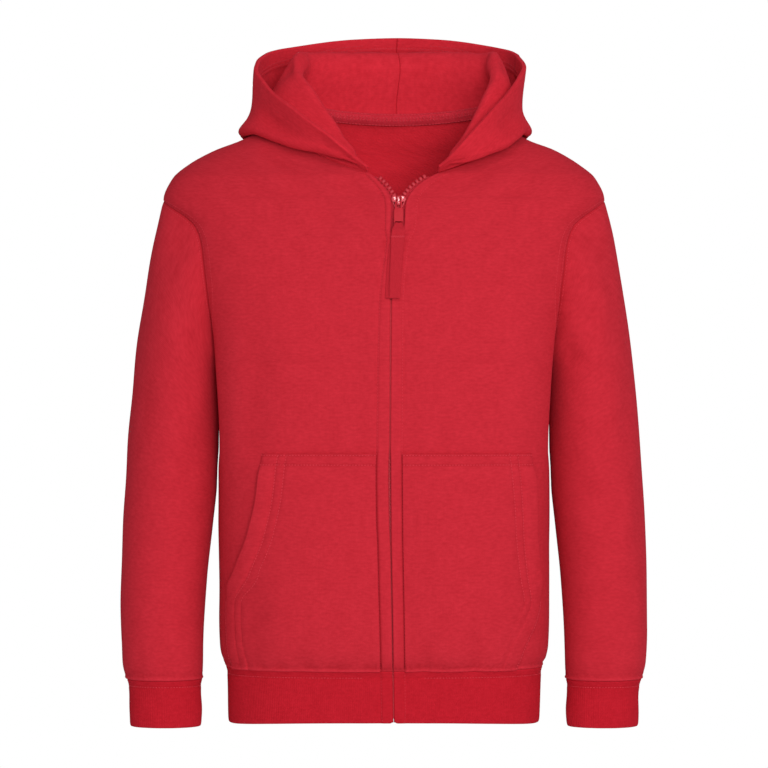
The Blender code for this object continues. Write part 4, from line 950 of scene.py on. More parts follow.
# creases of the front, as seen from the front: x, z and depth along each, ridges negative
frontCreases = [
    (0.0042, (-0.101, -0.0215, 0.0006), (-0.087, -0.033, 0.0013), (-0.065, -0.047, 0.0003)),
    (0.008, (-0.127, -0.03, 0.0006), (-0.108, -0.048, 0.0016), (-0.085, -0.069, 0.0008)),
    (0.009, (-0.112, -0.03, -0.0008), (-0.09, -0.054, -0.0008)),
    (0.008, (0.1, -0.035, 0.0006), (0.078, -0.048, 0.0013), (0.056, -0.056, 0.0003)),
    (0.0065, (0.133, -0.044, 0.0004), (0.115, -0.055, 0.0012), (0.096, -0.068, 0.0005)),
    (0.009, (0.115, -0.04, -0.0006), (0.09, -0.062, -0.0007)),
    (0.013, (-0.108, -0.14, 0.0004), (-0.106, -0.21, 0.0014), (-0.11, -0.278, 0.0012)),
    (0.011, (-0.13, -0.17, -0.0004), (-0.131, -0.23, -0.0012), (-0.129, -0.29, -0.0008)),
    (0.015, (0.11, -0.15, -0.0003), (0.118, -0.23, -0.0008), (0.112, -0.29, -0.0003)),
    (0.012, (-0.106, -0.39, 0.0002), (-0.108, -0.425, 0.0018), (-0.112, -0.456, 0.001)),
    (0.008, (-0.07, -0.435, 0.0), (-0.0715, -0.466, 0.0011)),
    (0.007, (0.0385, -0.425, 0.0), (0.036, -0.45, 0.0014), (0.0345, -0.469, 0.0017)),
    (0.007, (0.055, -0.43, -0.0002), (0.056, -0.46, -0.001)),
    (0.008, (0.08, -0.425, 0.0), (0.0785, -0.45, 0.0012), (0.077, -0.469, 0.0013)),
    (0.01, (0.097, -0.44, -0.0003), (0.098, -0.464, -0.0008)),
    (0.009, (-0.033, -0.052, 0.0008), (-0.016, -0.064, 0.0012), (-0.012, -0.086, 0.0004)),
    (0.012, (0.052, -0.048, 0.0009), (0.034, -0.058, 0.001), (0.03, -0.08, 0.0002)),
]
backCreases = [
    (0.009, (-0.148, -0.17, 0.0012), (-0.115, -0.23, 0.0022), (-0.07, -0.27, 0.0004)),
    (0.008, (-0.144, -0.21, 0.001), (-0.11, -0.27, 0.0018), (-0.06, -0.31, 0.0002)),
    (0.01, (0.148, -0.18, 0.0014), (0.11, -0.245, 0.002), (0.065, -0.28, 0.0004)),
    (0.008, (0.142, -0.235, 0.001), (0.105, -0.29, 0.0016), (0.05, -0.325, 0.0002)),
    (0.011, (-0.075, -0.345, 0.0003), (-0.01, -0.368, 0.0019), (0.065, -0.352, 0.0003)),
    (0.01, (-0.04, -0.395, 0.0002), (0.025, -0.408, 0.0014), (0.085, -0.398, 0.0003)),
    (0.012, (-0.09, -0.375, -0.0002), (-0.03, -0.39, -0.0012), (0.05, -0.38, -0.0003)),
    (0.008, (-0.085, -0.43, 0.0), (-0.082, -0.468, 0.0014)),
    (0.007, (-0.035, -0.435, 0.0), (-0.037, -0.468, 0.0012)),
    (0.008, (0.03, -0.43, 0.0), (0.032, -0.468, 0.0013)),
    (0.008, (0.08, -0.432, 0.0), (0.078, -0.468, 0.0014)),
    (0.014, (-0.05, -0.045, 0.0004), (0.0, -0.06, 0.0012), (0.055, -0.043, 0.0004)),
]
# the crease depth at which the painted shade is full
shadedDepth = 0.004
bodyLook = dict(unevenness=0.0007, unevenSize=0.06, evenWithin=0.03, seamDip=0.0006, seamWidth=0.003, seamShade=0.5,
                pucker=0.001, puckerPitch=0.0042, puckerLength=0.0034, puckerAt=0.0046,
                puckerShade=1.3, wander=2.2, wanderSize=0.03, gatherMean=0.75, gather=0.6, gatherSize=0.09,
                edgeAt=0.0013, edgeWidth=0.0012, edgeRise=0.0007, edgeShine=1.5)


def crease(cloth, uneven, depth):
    # unevenness and creases together; the deeper the crease, the darker its painted shade, and a ridge gets a painted
    # highlight
    cloth.push(uneven - depth, -depth / shadedDepth)


def creasePanel(cloth, creases, seed, face=-1):
    # the creases, and a gentle unevenness that fades out at the hem seam
    look = bodyLook
    x, z = cloth.points[..., 0], cloth.points[..., 2]
    away = np.minimum(1, (z - cut["hemSeam"]) / look["evenWithin"])
    uneven = look["unevenness"] * away * ripple(x, z * 0.7, seed, look["unevenSize"])
    crease(cloth, uneven, creaseDepth(cloth, creases, face))


def puckers(cloth, along, seed, strength=1.0):
    # small gathers just above the bottom seam with painted shade in them, and the seam's own raised edge with a
    # painted highlight
    look, distance = bodyLook, cloth.fromBottom
    wander = look["wander"] * ripple(along, 0 * along, seed, look["wanderSize"])
    drawn = 0.5 + 0.5 * np.sin(2 * math.pi * along / look["puckerPitch"] + wander)
    gather = look["gather"] * ripple(along, 0 * along, seed + 1, look["gatherSize"])
    amount = strength * (look["gatherMean"] + gather)
    dip = bell(distance - look["puckerAt"], look["puckerLength"]) * np.clip(amount, 0, 1.3) * drawn
    cloth.push(-look["pucker"] * dip, -look["puckerShade"] * dip)
    edge = bell(distance - look["edgeAt"], look["edgeWidth"])
    cloth.push(look["edgeRise"] * edge, look["edgeShine"] * edge)


def seamDips(cloth, edges):
    # a dip along each sewn edge, with painted shade in it
    reaches = {"l": cloth.fromFirst, "r": cloth.fromLast, "b": cloth.fromBottom, "t": cloth.fromTop}
    for edge in edges:
        dip = bell(reaches[edge], bodyLook["seamWidth"])
        cloth.push(-bodyLook["seamDip"] * dip, -bodyLook["seamShade"] * dip)


frontStrip = dict(width=0.0118, rise=0.0009, flank=0.003, groove=0.0003, grooveWidth=0.002, stitchAt=0.011,
                  overPocket=0.0003, foldedBelow=-0.044, flatAbove=-0.0405,
                  shine=0.25, shineAt=0.002, shineWidth=0.0015)
# how wide the strip is on each side, as a share of the width above
stripShare = Table("z left right", [
    (-0.06, 0.88, 0.46), (-0.09, 0.88, 0.44), (-0.12, 0.9, 0.64), (-0.15, 0.9, 0.82), (-0.22, 0.9, 0.94),
    (-0.38, 0.9, 0.99), (-0.47, 0.9, 0.93), (-0.515, 0.9, 0.92),
])
stripColumns = np.array([0, 0.0003, 0.0007, 0.0012, 0.0019, 0.003, 0.0045, 0.006, 0.0075, 0.0088, 0.0098,
                         0.0104, 0.0109, 0.0113, 0.0117, 0.0121, 0.0125, 0.013, 0.0136])
frontUpperRows = np.concatenate([np.linspace(-0.062, -0.041, 12)[1:], np.linspace(-0.041, -0.028, 16)[1:],
                                 np.linspace(-0.028, 0.022, 24)[1:]])


def stripRise(z):
    look = frontStrip
    overPocket = ease(z, cut["pocketTop"], cut["pocketTop"] + 0.006) * ease(-z, -cut["hemSeam"] - 0.004,
                                                                             -cut["hemSeam"])
    full = cut["fleece"] + cut["seam"] + look["overPocket"]
    return look["rise"] + (full - look["rise"]) * overPocket


def stripScale(z, side):
    return stripShare.at(z, "left" if side > 0 else "right")


def stripShape(reach, z, side):
    # the turned-back front edge: raised, then a stitched groove
    look = frontStrip
    reach = reach / stripScale(z, side)
    raised = stripRise(z) * ease(reach, look["width"] - look["flank"], look["width"] + 0.0001)
    return raised - look["groove"] * bell(reach - look["width"] - 0.0003, look["grooveWidth"])


def frontCloth(side):
    rows, heights = [], []
    for z in bodyRows(frontUpperRows):
        level, start, end = frontLevel(z, side)
        end -= cut["seam"] / 2
        fit = min(1.0, (end - start) / 0.19)
        near = start + stripColumns * (stripScale(z, side) if z < cut["frontNeck"] - 1e-6 else max(fit, 0.05))
        far = end - edgeSteps[::-1] * fit
        middle = np.linspace(near[-1], far[0], 58)[1:-1]
        rows.append(level.turnAt(np.concatenate([near, middle, far])))
        heights.append(np.full(len(rows[-1]), z))
    turns, heights = np.array(rows), np.array(heights)
    cloth = Cloth(bodyPoint(turns, heights), bodyNormal(turns, heights))
    return cloth, heights


def makeFront(name, side):
    cloth, heights = frontCloth(side)
    cloth.seamPath = cloth.points.copy()
    look = frontStrip
    folded = ease(heights, look["foldedBelow"], look["flatAbove"])
    meetSleeve(cloth, heights, side, cloth.fromLast, -1)
    leanTo(cloth, cloth.fromBottom, sideways(cloth.normals))
    seamDips(cloth, "r")
    creasePanel(cloth, frontCreases, 11 + side)
    puckers(cloth, cloth.points[..., 0], 21 + side)
    # a painted highlight along the turned edge, just inside the zip
    shine = look["shine"] * bell(cloth.fromFirst - look["shineAt"], look["shineWidth"])
    cloth.push(folded * stripShape(cloth.fromFirst, heights, side), folded * shine)
    makePanel(name, cloth, "lt")
    return cloth


# the cloth from the front edge to each pocket's outer edge
pocketShape = Table("z left right", [
    (-0.283, 0.1246, 0.1098), (-0.318, 0.1282, 0.1138), (-0.35, 0.13, 0.122), (-0.385, 0.1335, 0.1385),
    (-0.411, 0.1378, 0.1545), (-0.428, 0.1319, 0.155), (-0.448, 0.1195, 0.154), (-0.47, 0.1085, 0.149),
])
pocketLook = dict(belly=0.004, bellyLean=0.8, unevenness=0.0006, unevenSize=0.05,
                  openingEnd=-0.411, openingLift=0.0024, openingWidth=0.016, hemThick=0.001, hem=(0.011, 0.0128),
                  fadeBelow=0.018, fadeAbove=(0.022, 0.004), steepest=0.6, sewnDip=0.001, sewnRow=0.0016,
                  openingRows=(0.0145, 0.022), topRows=(0.0015, 0.0098), rowDip=0.0006, rowWidth=0.0011)


def makePocket(name, side):
    look = pocketLook
    wearer = "left" if side > 0 else "right"
    top = cut["pocketTop"]
    heights = spread(cut["hemSeam"] + cut["seam"] / 2, top, 0.003, [top - d for d in (0.009, 0.0098, 0.0106, 0.012)])
    acrossRows = np.concatenate([np.array(look["openingRows"]) + d for d in (-0.0014, -0.0007, 0, 0.0007, 0.0014)])
    turns, reaches = [], []
    for z in heights:
        level, start, _ = frontLevel(z, side)
        end = float(pocketShape.at(z, wearer))
        near = (frontStrip["width"] - 0.0005) * stripScale(z, side) + edgeSteps
        far = end - np.sort(np.concatenate([edgeSteps, acrossRows, [0.0075, 0.01, 0.0165]]))[::-1]
        middle = np.linspace(near[-1], far[0], 32)[1:-1]
        places = np.concatenate([near, middle, far])
        reaches.append(places)
        turns.append(level.turnAt(start + places))
    turns, reaches = np.array(turns), np.array(reaches)
    z = np.broadcast_to(heights[:, None], turns.shape)
    cloth = Cloth(bodyPoint(turns, z), bodyNormal(turns, z))
    creasePanel(cloth, frontCreases, 11 + side)
    up = (z - z.min()) / (z.max() - z.min())
    across = (reaches - reaches[:, :1]) / (reaches[:, -1:] - reaches[:, :1])
    belly = look["belly"] * np.sin(math.pi * np.clip(up, 0, 1))
    belly = belly * np.sin(math.pi * np.clip(across, 0, 1) ** look["bellyLean"])
    uneven = look["unevenness"] * ripple(z, reaches, 31 + side, look["unevenSize"]) * across * up
    cloth.push(cut["seam"] + cut["fleece"] + belly + uneven)
    # below the opening the outer edge is sewn down, and distances to it are measured level
    slope = np.gradient(pocketShape.at(heights, wearer), heights)
    closed = heights < look["openingEnd"] + 0.004
    slope[closed] = np.clip(slope[closed], -look["steepest"], look["steepest"])
    lean = np.sqrt(1 + slope ** 2)
    fromOpening = cloth.fromLast / lean[:, None]
    opened = ease(-z, -look["openingEnd"] - look["fadeBelow"], -look["openingEnd"])
    opened = opened * ease(z, *(top - reach for reach in look["fadeAbove"]))
    cloth.push(opened * (look["openingLift"] * ease(fromOpening, 0.0, look["openingWidth"])
                        + look["hemThick"] * ease(fromOpening, *look["hem"])))
    sewn = 1 - opened
    # painted shade in the dip along the sewn-down edge
    cloth.push(-look["sewnDip"] * sewn * bell(fromOpening, 0.0022), -0.4 * sewn * bell(fromOpening, 0.0025))
    # dips for the rows of stitches, with painted shade: strong under the top edge, light beside the opening
    for reach, distances, shade in ((cloth.fromTop, look["topRows"], 0.9), (fromOpening, look["openingRows"], 0.3)):
        for distance in distances:
            dip = bell(reach - distance, look["rowWidth"])
            cloth.push(-look["rowDip"] * dip, -shade * dip)
    puckers(cloth, cloth.points[..., 0], 41 + side, 1.1)
    makePanel(name, cloth, "rt")
    low = float(np.argmin(np.abs(heights - look["openingEnd"]))) / (len(heights) - 1)
    rows = [cloth.line(d, "top", (0.0, 1.0)) for d in look["topRows"]]
    rows += [cloth.line(d * lean, "last", (low, 0.97)) for d in look["openingRows"]]
    rows.append(cloth.line(look["sewnRow"], "last", (0.03, low)))
    sew("stitches_" + name, rows, width=0.0009, height=0.0008)


backLook = dict(columns=112)


def backCloth():
    upper = np.concatenate([np.linspace(-0.062, -0.01, 20)[1:], np.linspace(-0.01, 0.022, 14)[1:]])
    upper[-6:] = 0.022 - edgeSteps[:6][::-1]
    rows, heights = [], []
    for z in bodyRows(upper):
        level = Level(z, 0.0, math.pi)
        start, opening = 0.0, armholeHalfDepth(z)
        if opening > 0:
            start = level.lengthWhere(level.points[:, 1], opening)
        start += cut["seam"] / 2
        steps = edgeSteps * min(1.0, (level.total - 2 * start) / 0.2)
        middle = np.linspace(start + steps[-1], level.total - start - steps[-1], backLook["columns"])[1:-1]
        rows.append(level.turnAt(np.concatenate([start + steps, middle, level.total - start - steps[::-1]])))
        heights.append(np.full(len(rows[-1]), z))
    turns, heights = np.array(rows), np.array(heights)
    cloth = Cloth(bodyPoint(turns, heights), bodyNormal(turns, heights))
    cloth.heights = heights
    return cloth


def makeBack():
    cloth = backCloth()
    cloth.seamPath = cloth.points.copy()
    cloth.seamNormals = cloth.normals.copy()
    meetSleeve(cloth, cloth.heights, 1, cloth.fromFirst, 1)
    meetSleeve(cloth, cloth.heights, -1, cloth.fromLast, 1)
    leanTo(cloth, cloth.fromBottom, sideways(cloth.normals))
    seamDips(cloth, "lrt")
    creasePanel(cloth, backCreases, 51, 1)
    puckers(cloth, cloth.points[..., 0], 52, 0.9)
    makePanel("back", cloth, "t")
    return cloth


frontLeft = makeFront("front_left", 1)
frontRight = makeFront("front_right", -1)
makePocket("pocket_left", 1)
makePocket("pocket_right", -1)
back = makeBack()
print("body panels and pockets made")


sleeveCreases = {
    1: ([
        (0.0065, (0.153, -0.148, 0.0006), (0.164, -0.153, 0.0016), (0.18, -0.15, 0.0002)),
        (0.0085, (0.154, -0.19, 0.001), (0.164, -0.199, 0.002), (0.182, -0.208, 0.0002)),
        (0.008, (0.156, -0.17, -0.0004), (0.172, -0.176, -0.0009)),
        (0.012, (0.17, -0.29, 0.0003), (0.176, -0.312, 0.0013), (0.186, -0.326, 0.0002)),
        (0.01, (0.164, -0.328, -0.0003), (0.17, -0.34, -0.0009), (0.184, -0.35, -0.0002)),
        (0.011, (0.19, -0.438, 0.0002), (0.188, -0.464, 0.001)),
        (0.008, (0.209, -0.445, 0.0), (0.208, -0.472, 0.0009)),
    ], [
        (0.009, (0.165, -0.248, 0.0008), (0.188, -0.26, 0.0026), (0.213, -0.252, 0.0006)),
        (0.008, (0.165, -0.28, 0.0008), (0.19, -0.286, 0.0024), (0.216, -0.278, 0.0006)),
        (0.008, (0.17, -0.312, 0.0006), (0.192, -0.313, 0.0018), (0.214, -0.306, 0.0004)),
        (0.008, (0.175, -0.27, -0.0006), (0.2, -0.272, -0.0016)),
        (0.009, (0.156, -0.16, 0.0016), (0.175, -0.185, 0.0014), (0.19, -0.215, 0.0002)),
    ]),
    -1: ([
        (0.011, (-0.17, -0.098, 0.0006), (-0.176, -0.108, 0.0013), (-0.18, -0.125, 0.0002)),
        (0.009, (-0.154, -0.17, 0.0008), (-0.166, -0.182, 0.0012), (-0.182, -0.188, 0.0001)),
        (0.012, (-0.204, -0.212, 0.0002), (-0.206, -0.235, 0.0011), (-0.198, -0.26, 0.0002)),
        (0.014, (-0.162, -0.275, 0.0008), (-0.168, -0.305, 0.0014), (-0.18, -0.33, 0.0002)),
        (0.011, (-0.19, -0.44, 0.0002), (-0.189, -0.468, 0.001)),
        (0.008, (-0.212, -0.445, 0.0), (-0.211, -0.472, 0.0009)),
    ], [
        (0.009, (-0.166, -0.24, 0.0008), (-0.19, -0.254, 0.0025), (-0.213, -0.248, 0.0006)),
        (0.008, (-0.166, -0.274, 0.0008), (-0.188, -0.284, 0.0025), (-0.216, -0.279, 0.0006)),
        (0.008, (-0.172, -0.308, 0.0005), (-0.194, -0.314, 0.0017), (-0.214, -0.309, 0.0004)),
        (0.008, (-0.176, -0.266, -0.0005), (-0.2, -0.269, -0.0015)),
        (0.009, (-0.156, -0.164, 0.0015), (-0.174, -0.19, 0.0014), (-0.188, -0.22, 0.0002)),
    ]),
}


sleeveLook = dict(unevenness=0.0008, unevenSize=0.055, evenWithin=0.03, clearAt=0.004, clearWithin=0.01,
                  armholeRow=0.0022, bodyRows=(0.003, 0.0092), rowsEnd=0.004)


def makeSleeve(name, side):
    look = sleeveLook
    grid, normals, _, shared = armholes[side]
    cloth = Cloth(grid, normals, ring=True)
    leanTo(cloth, cloth.fromTop, shared[None])
    leanTo(cloth, cloth.fromBottom, sideways(cloth.normals))
    seamDips(cloth, "t")
    x, y, z = (cloth.points[..., k] for k in range(3))
    away = np.clip(np.minimum(cloth.fromBottom, cloth.fromTop) / look["evenWithin"], 0, 1)
    # no crease where the sleeve lies against the body
    clear = np.clip((side * x - sideX(y, z) - look["clearAt"]) / look["clearWithin"], 0, 1)
    depth = sum(creaseDepth(cloth, creases, face) for creases, face in zip(sleeveCreases[side], (-1, 1)))
    uneven = look["unevenness"] * away * ripple(x * 1.3 + y, z * 0.8, 61 + side, look["unevenSize"])
    crease(cloth, uneven * clear, depth * clear)
    puckers(cloth, cloth.fromFirst, 71 + side, 0.8)
    makePanel(name, cloth)
    sew("stitches_" + name, [ringLine(cloth, look["armholeRow"], "top")])


def ringLine(cloth, distance, edge):
    path, facing = cloth.line(distance, edge)
    return np.concatenate([path, path[:1]]), np.concatenate([facing, facing[:1]])


def sewArmhole(name, side, front, backPanel):
    # twin rows on the body beside the armhole, down the front and up the back
    rows = []
    for distance in sleeveLook["bodyRows"]:
        for cloth, edge in ((front, "last"), (backPanel, "first" if side > 0 else "last")):
            path, facing = cloth.line(distance, edge)
            z = path[:, 2]
            end = sleeveLook["rowsEnd"]
            kept = (z < cut["armholeTop"] + end) & (z > cut["armholeBottom"] + end)
            rows.append((path[kept], facing[kept]))
    sew(name, rows)


makeSleeve("sleeve_left", 1)
makeSleeve("sleeve_right", -1)
sewArmhole("stitches_armhole_left", 1, frontLeft, back)
sewArmhole("stitches_armhole_right", -1, frontRight, back)
print("sleeves made")

ribLook = dict(pitch=0.0018, relief=0.00014, columnsPerRib=4, welt=0.0004, weltAt=0.001, weltWidth=0.001,
               rowAt=0.0058, rowDip=0.0004, rowWidth=0.0012, wave=0.001, weltShine=1.2,
               bottomDip=0.0004, bottomWidth=0.0025)


def bandRows(top, bottom):
    # heights of a band's rows: close together at its seam and at its lower edge
    inner = np.array([0, 0.0003, 0.0007, 0.0012, 0.0016, 0.0021, 0.0027, 0.0036, 0.0048, 0.0054, 0.006, 0.0066,
                      0.0076])
    low = np.array([0, 0.0003, 0.0007, 0.0012, 0.0018, 0.0026, 0.004])
    middle = np.linspace(bottom + low[-1], top - inner[-1], 9)[1:-1]
    return np.concatenate([bottom + low, middle, top - inner[::-1]])


def makeBand(name, cloth, girth, steady):
    # a knitted band: a welt with a painted highlight and a stitched row with painted shade at its seam, ribs below,
    # soft rounded bottom
    look = ribLook
    wave = look["wave"] * 0.5 * ripple(girth, 0 * girth, len(name), 0.07)
    fromSeam = cloth.fromTop + wave * ease(cloth.fromTop, 0.002, 0.012)
    welt = bell(fromSeam - look["weltAt"], look["weltWidth"])
    cloth.push(look["welt"] * welt, look["weltShine"] * welt)
    dip = bell(fromSeam - look["rowAt"], look["rowWidth"])
    cloth.push(-look["rowDip"] * dip, -0.4 * dip)
    cloth.push(-look["bottomDip"] * bell(cloth.fromBottom, look["bottomWidth"]))
    ribbed = steady * (1 - ease(fromSeam, look["rowAt"] - 0.002, look["rowAt"] + 0.002)) \
        * (1 - 0.7 * ease(cloth.fromBottom, 0.0005, 0.003))
    plain = makeCloth("plain_" + name, cloth, cut["ribKnit"], [ribFace], rounding=0.48, edges="lrb")
    out = (cloth.normals * ribbed[..., None]).reshape(-1, 3)
    out = np.concatenate([out, -out]).astype(np.float32)
    around = np.concatenate([girth.ravel(), girth.ravel()]).astype(np.float32)
    plain.data.attributes.new("out", "FLOAT_VECTOR", "POINT").data.foreach_set("vector", out.ravel())
    plain.data.attributes.new("girth", "FLOAT", "POINT").data.foreach_set("value", around)
    values = {"Pitch": look["pitch"], "Relief": look["relief"], "Material": ribFace}
    piece = grow(plain, ribTree, values, "cloth_" + name)
    finishCloth(piece, name)


cuffShape = Table("z outerX innerX halfDepth middleY", [
    (-0.5225, 0.2222, 0.1598, 0.0245, -0.019), (-0.505, 0.223, 0.159, 0.0255, -0.019),
    (-0.481, 0.225, 0.159, 0.03, -0.018),
])
cuffLook = dict(girth=0.155, drawn=0.0012, drawnAt=0.012, drawnWidth=0.012, unevenness=0.0005, unevenSize=0.03)


def makeCuff(name, side):
    look = ribLook
    ribs = round(cuffLook["girth"] / look["pitch"])
    shares = np.linspace(0, 1, look["columnsPerRib"] * ribs, endpoint=False)
    fine = np.linspace(0, 2 * math.pi, 2000)
    rings = []
    for z in bandRows(cut["cuffSeam"] - cut["seam"] / 2, cut["cuff"])[::-1]:
        outerX, innerX, halfDepth, middleY = (cuffShape.at(z, part) for part in list(cuffShape.columns)[1:])
        # drawn in just under the seam
        drawn = cuffLook["drawn"] * bell(z - cut["cuffSeam"] + cuffLook["drawnAt"], cuffLook["drawnWidth"])
        curve = tubeRing(side, fine, outerX - drawn, z, innerX + drawn, z, halfDepth - drawn, middleY)
        lengths = runLengths(curve)
        rings.append(readAt(shares * lengths[-1], lengths, curve))
    grid = upwardsGrid(rings, side)
    cloth = Cloth(grid, gridNormals(grid, ring=True), ring=True)
    leanTo(cloth, cloth.fromTop, sideways(cloth.normals))
    order = np.arange(grid.shape[1]) * look["pitch"] / look["columnsPerRib"]
    girth = np.broadcast_to(order[None], grid.shape[:2])
    uneven = ripple(cloth.points[..., 0] * 2, cloth.points[..., 2], 81 + side, cuffLook["unevenSize"])
    cloth.push(cuffLook["unevenness"] * uneven)
    makeBand(name, cloth, girth, np.ones(grid.shape[:2]))
    sew("stitches_" + name, [ringLine(cloth, look["rowAt"], "top")], "rib_knit", width=0.0008, height=0.0007)


hemLook = dict(girth=0.76, cornerRound=0.003, unevenness=0.0006, unevenSize=0.05, evenNearZip=(0.012, 0.03))


def makeHemBand():
    # one band right round from the zip to the zip, with the turned-back edges at its ends
    look = ribLook
    turns, heights, reaches = [], [], []
    for z in bandRows(cut["hemSeam"] - cut["seam"] / 2, cut["hem"]):
        startTurn = zipTurn(z)
        level = Level(z, startTurn, startTurn + 2 * math.pi, 4000)
        gap = float(zipLine.at(z, "clothGap"))
        left = gap + stripColumns * stripScale(z, 1)
        right = level.total - gap - (stripColumns * stripScale(z, -1))[::-1]
        ribs = round((hemLook["girth"] - 2 * frontStrip["width"]) / look["pitch"])
        middle = np.linspace(left[-1], right[0], look["columnsPerRib"] * ribs + 1)[1:-1]
        where = np.concatenate([left, middle, right])
        turns.append(level.turnAt(where))
        low = (z - cut["hemSeam"]) / (cut["hem"] - cut["hemSeam"])
        drop = cut["hemSideDrop"] * max(0.0, low) ** 2 * np.cos(turns[-1]) ** 2
        reach = np.minimum(where - gap, level.total - gap - where)
        radius = hemLook["cornerRound"]
        lift = edgeDrop(reach, radius) * max(0.0, (low - 0.85) / 0.15)
        heights.append(z - drop + lift)
        reaches.append(reach)
    turns, heights, reach = np.array(turns), np.array(heights), np.array(reaches)
    cloth = Cloth(bodyPoint(turns, heights), sideways(bodyNormal(turns, heights)))
    first = len(stripColumns) - 1
    count = turns.shape[1] - 2 * first
    order = np.zeros(turns.shape[1])
    order[first:first + count] = np.arange(count) * look["pitch"] / look["columnsPerRib"]
    girth = np.broadcast_to(order[None], turns.shape)
    atLeft = np.arange(turns.shape[1])[None] < turns.shape[1] / 2
    strip = np.where(atLeft, stripShape(reach, heights, 1), stripShape(reach, heights, -1))
    cloth.push(strip)
    x, z = cloth.points[..., 0], cloth.points[..., 2]
    uneven = hemLook["unevenness"] * ripple(x, z * 0.5, 91, hemLook["unevenSize"])
    cloth.push(uneven * (1 - ease(reach, *hemLook["evenNearZip"])))
    steady = 1 - ease(reach, frontStrip["width"] + 0.0006, frontStrip["width"] + 0.002)
    keep = Cloth(cloth.points, cloth.normals)
    makeBand("hem_band", cloth, girth, steady)
    row = cloth.line(look["rowAt"], "top", (0.03, 0.97))
    sew("stitches_hem_band", [row], "rib_knit", width=0.0008, height=0.0007)
    return keep


makeCuff("cuff_left", 1)
makeCuff("cuff_right", -1)
hemCloth = makeHemBand()


def sewStrips():
    # the row of stitches along each turned-back front edge, from the neck over the hem band
    rows = []
    for panel, side in ((frontLeft, 1), (frontRight, -1)):
        path, facing = panel.line(frontStrip["stitchAt"] * stripScale(panel.points[:, 0, 2], side), "first")
        kept = path[:, 2] < cut["frontNeck"] - 0.002
        rows.append((path[kept], facing[kept]))
    for edge, side in (("first", 1), ("last", -1)):
        rows.append(hemCloth.line(frontStrip["stitchAt"] * stripScale(cut["hem"], side), edge, (0.1, 0.9)))
    sew("stitches_front_edges", rows, length=0.0017, width=0.0005, height=0.0004)


sewStrips()
print("bands made")

# the hood lies open on the shoulders: from the neck seam up to a crest, out and down to a fold, and
# up again to its edge. along runs from the zip to the centre back
hoodCrest = Table("along x y z shift roll", [
    (0, 0.0305, -0.065, -0.0385, 0.0165, 0.0015), (0.15, 0.0465, -0.056, -0.0185, 0.0168, 0.003),
    (0.3, 0.0608, -0.045, 0.0021, 0.0164, 0.0045), (0.42, 0.0772, -0.027, 0.0307, 0.0143, 0.006),
    (0.52, 0.0892, -0.004, 0.054, 0.0108, 0.007), (0.65, 0.086, 0.028, 0.07, 0.0116, 0.009),
    (0.8, 0.056, 0.055, 0.073, 0.012, 0.012), (0.9, 0.029, 0.063, 0.0735, 0.012, 0.013),
    (1, 0, 0.066, 0.0735, 0.012, 0.013), (1.1, -0.029, 0.063, 0.0735, 0.012, 0.013),
])
hoodFold = Table("along x y z shift turn pinch", [
    (0, 0.0308, -0.0665, -0.0382, 0.0165, 0.0015, 0), (0.15, 0.0565, -0.0665, -0.0292, 0.0225, 0.0035, 0),
    (0.3, 0.085, -0.055, -0.0205, 0.016, 0.0045, 0.0005), (0.42, 0.107, -0.036, -0.0106, 0.008, 0.0045, 0.0015),
    (0.47, 0.1185, -0.019, -0.004, 0.003, 0.0035, 0.003), (0.52, 0.1255, 0.002, -0.0042, 0.001, 0.0028, 0.0045),
    (0.58, 0.1245, 0.024, -0.0052, 0.001, 0.0035, 0.004), (0.65, 0.115, 0.054, -0.011, 0.002, 0.007, 0.002),
    (0.8, 0.085, 0.1, -0.06, 0.001, 0.012, 0), (0.9, 0.046, 0.114, -0.086, 0.001, 0.014, 0),
    (1, 0, 0.118, -0.093, 0.001, 0.015, 0), (1.1, -0.046, 0.114, -0.086, 0.001, 0.014, 0),
])
hoodEdge = Table("along x y z shift", [
    (0, 0.0313, -0.0675, -0.0368, 0.0166), (0.15, 0.053, -0.0755, -0.0165, 0.014),
    (0.3, 0.0835, -0.06, 0.012, 0.0085), (0.42, 0.1045, -0.033, 0.033, 0.0055), (0.52, 0.1185, 0, 0.056, 0.0052),
    (0.65, 0.112, 0.05, 0.0725, 0.0062), (0.8, 0.079, 0.09, 0.084, 0.0095), (0.9, 0.04, 0.106, 0.0903, 0.011),
    (1, 0, 0.112, 0.0923, 0.012), (1.1, -0.04, 0.106, 0.0903, 0.011),
])
hoodLook = dict(spans=(4, 10, 8, 8, 16, 8, 8, 6, 10), waist=0.34, corner=0.12, cornerThinning=0.3,
                start=0.0007, stand=0.3,
                leastStand=0.001, bendSquash=0.9, hemThick=0.0011, unevenness=0.001, unevenSize=0.06,
                hemRow=0.0012, secondRow=0.0046)
hoodHem = Table("along width", [
    (0, 0.012), (0.15, 0.016), (0.5, 0.018), (0.8, 0.014), (0.9, 0.0112), (1, 0.0106),
])
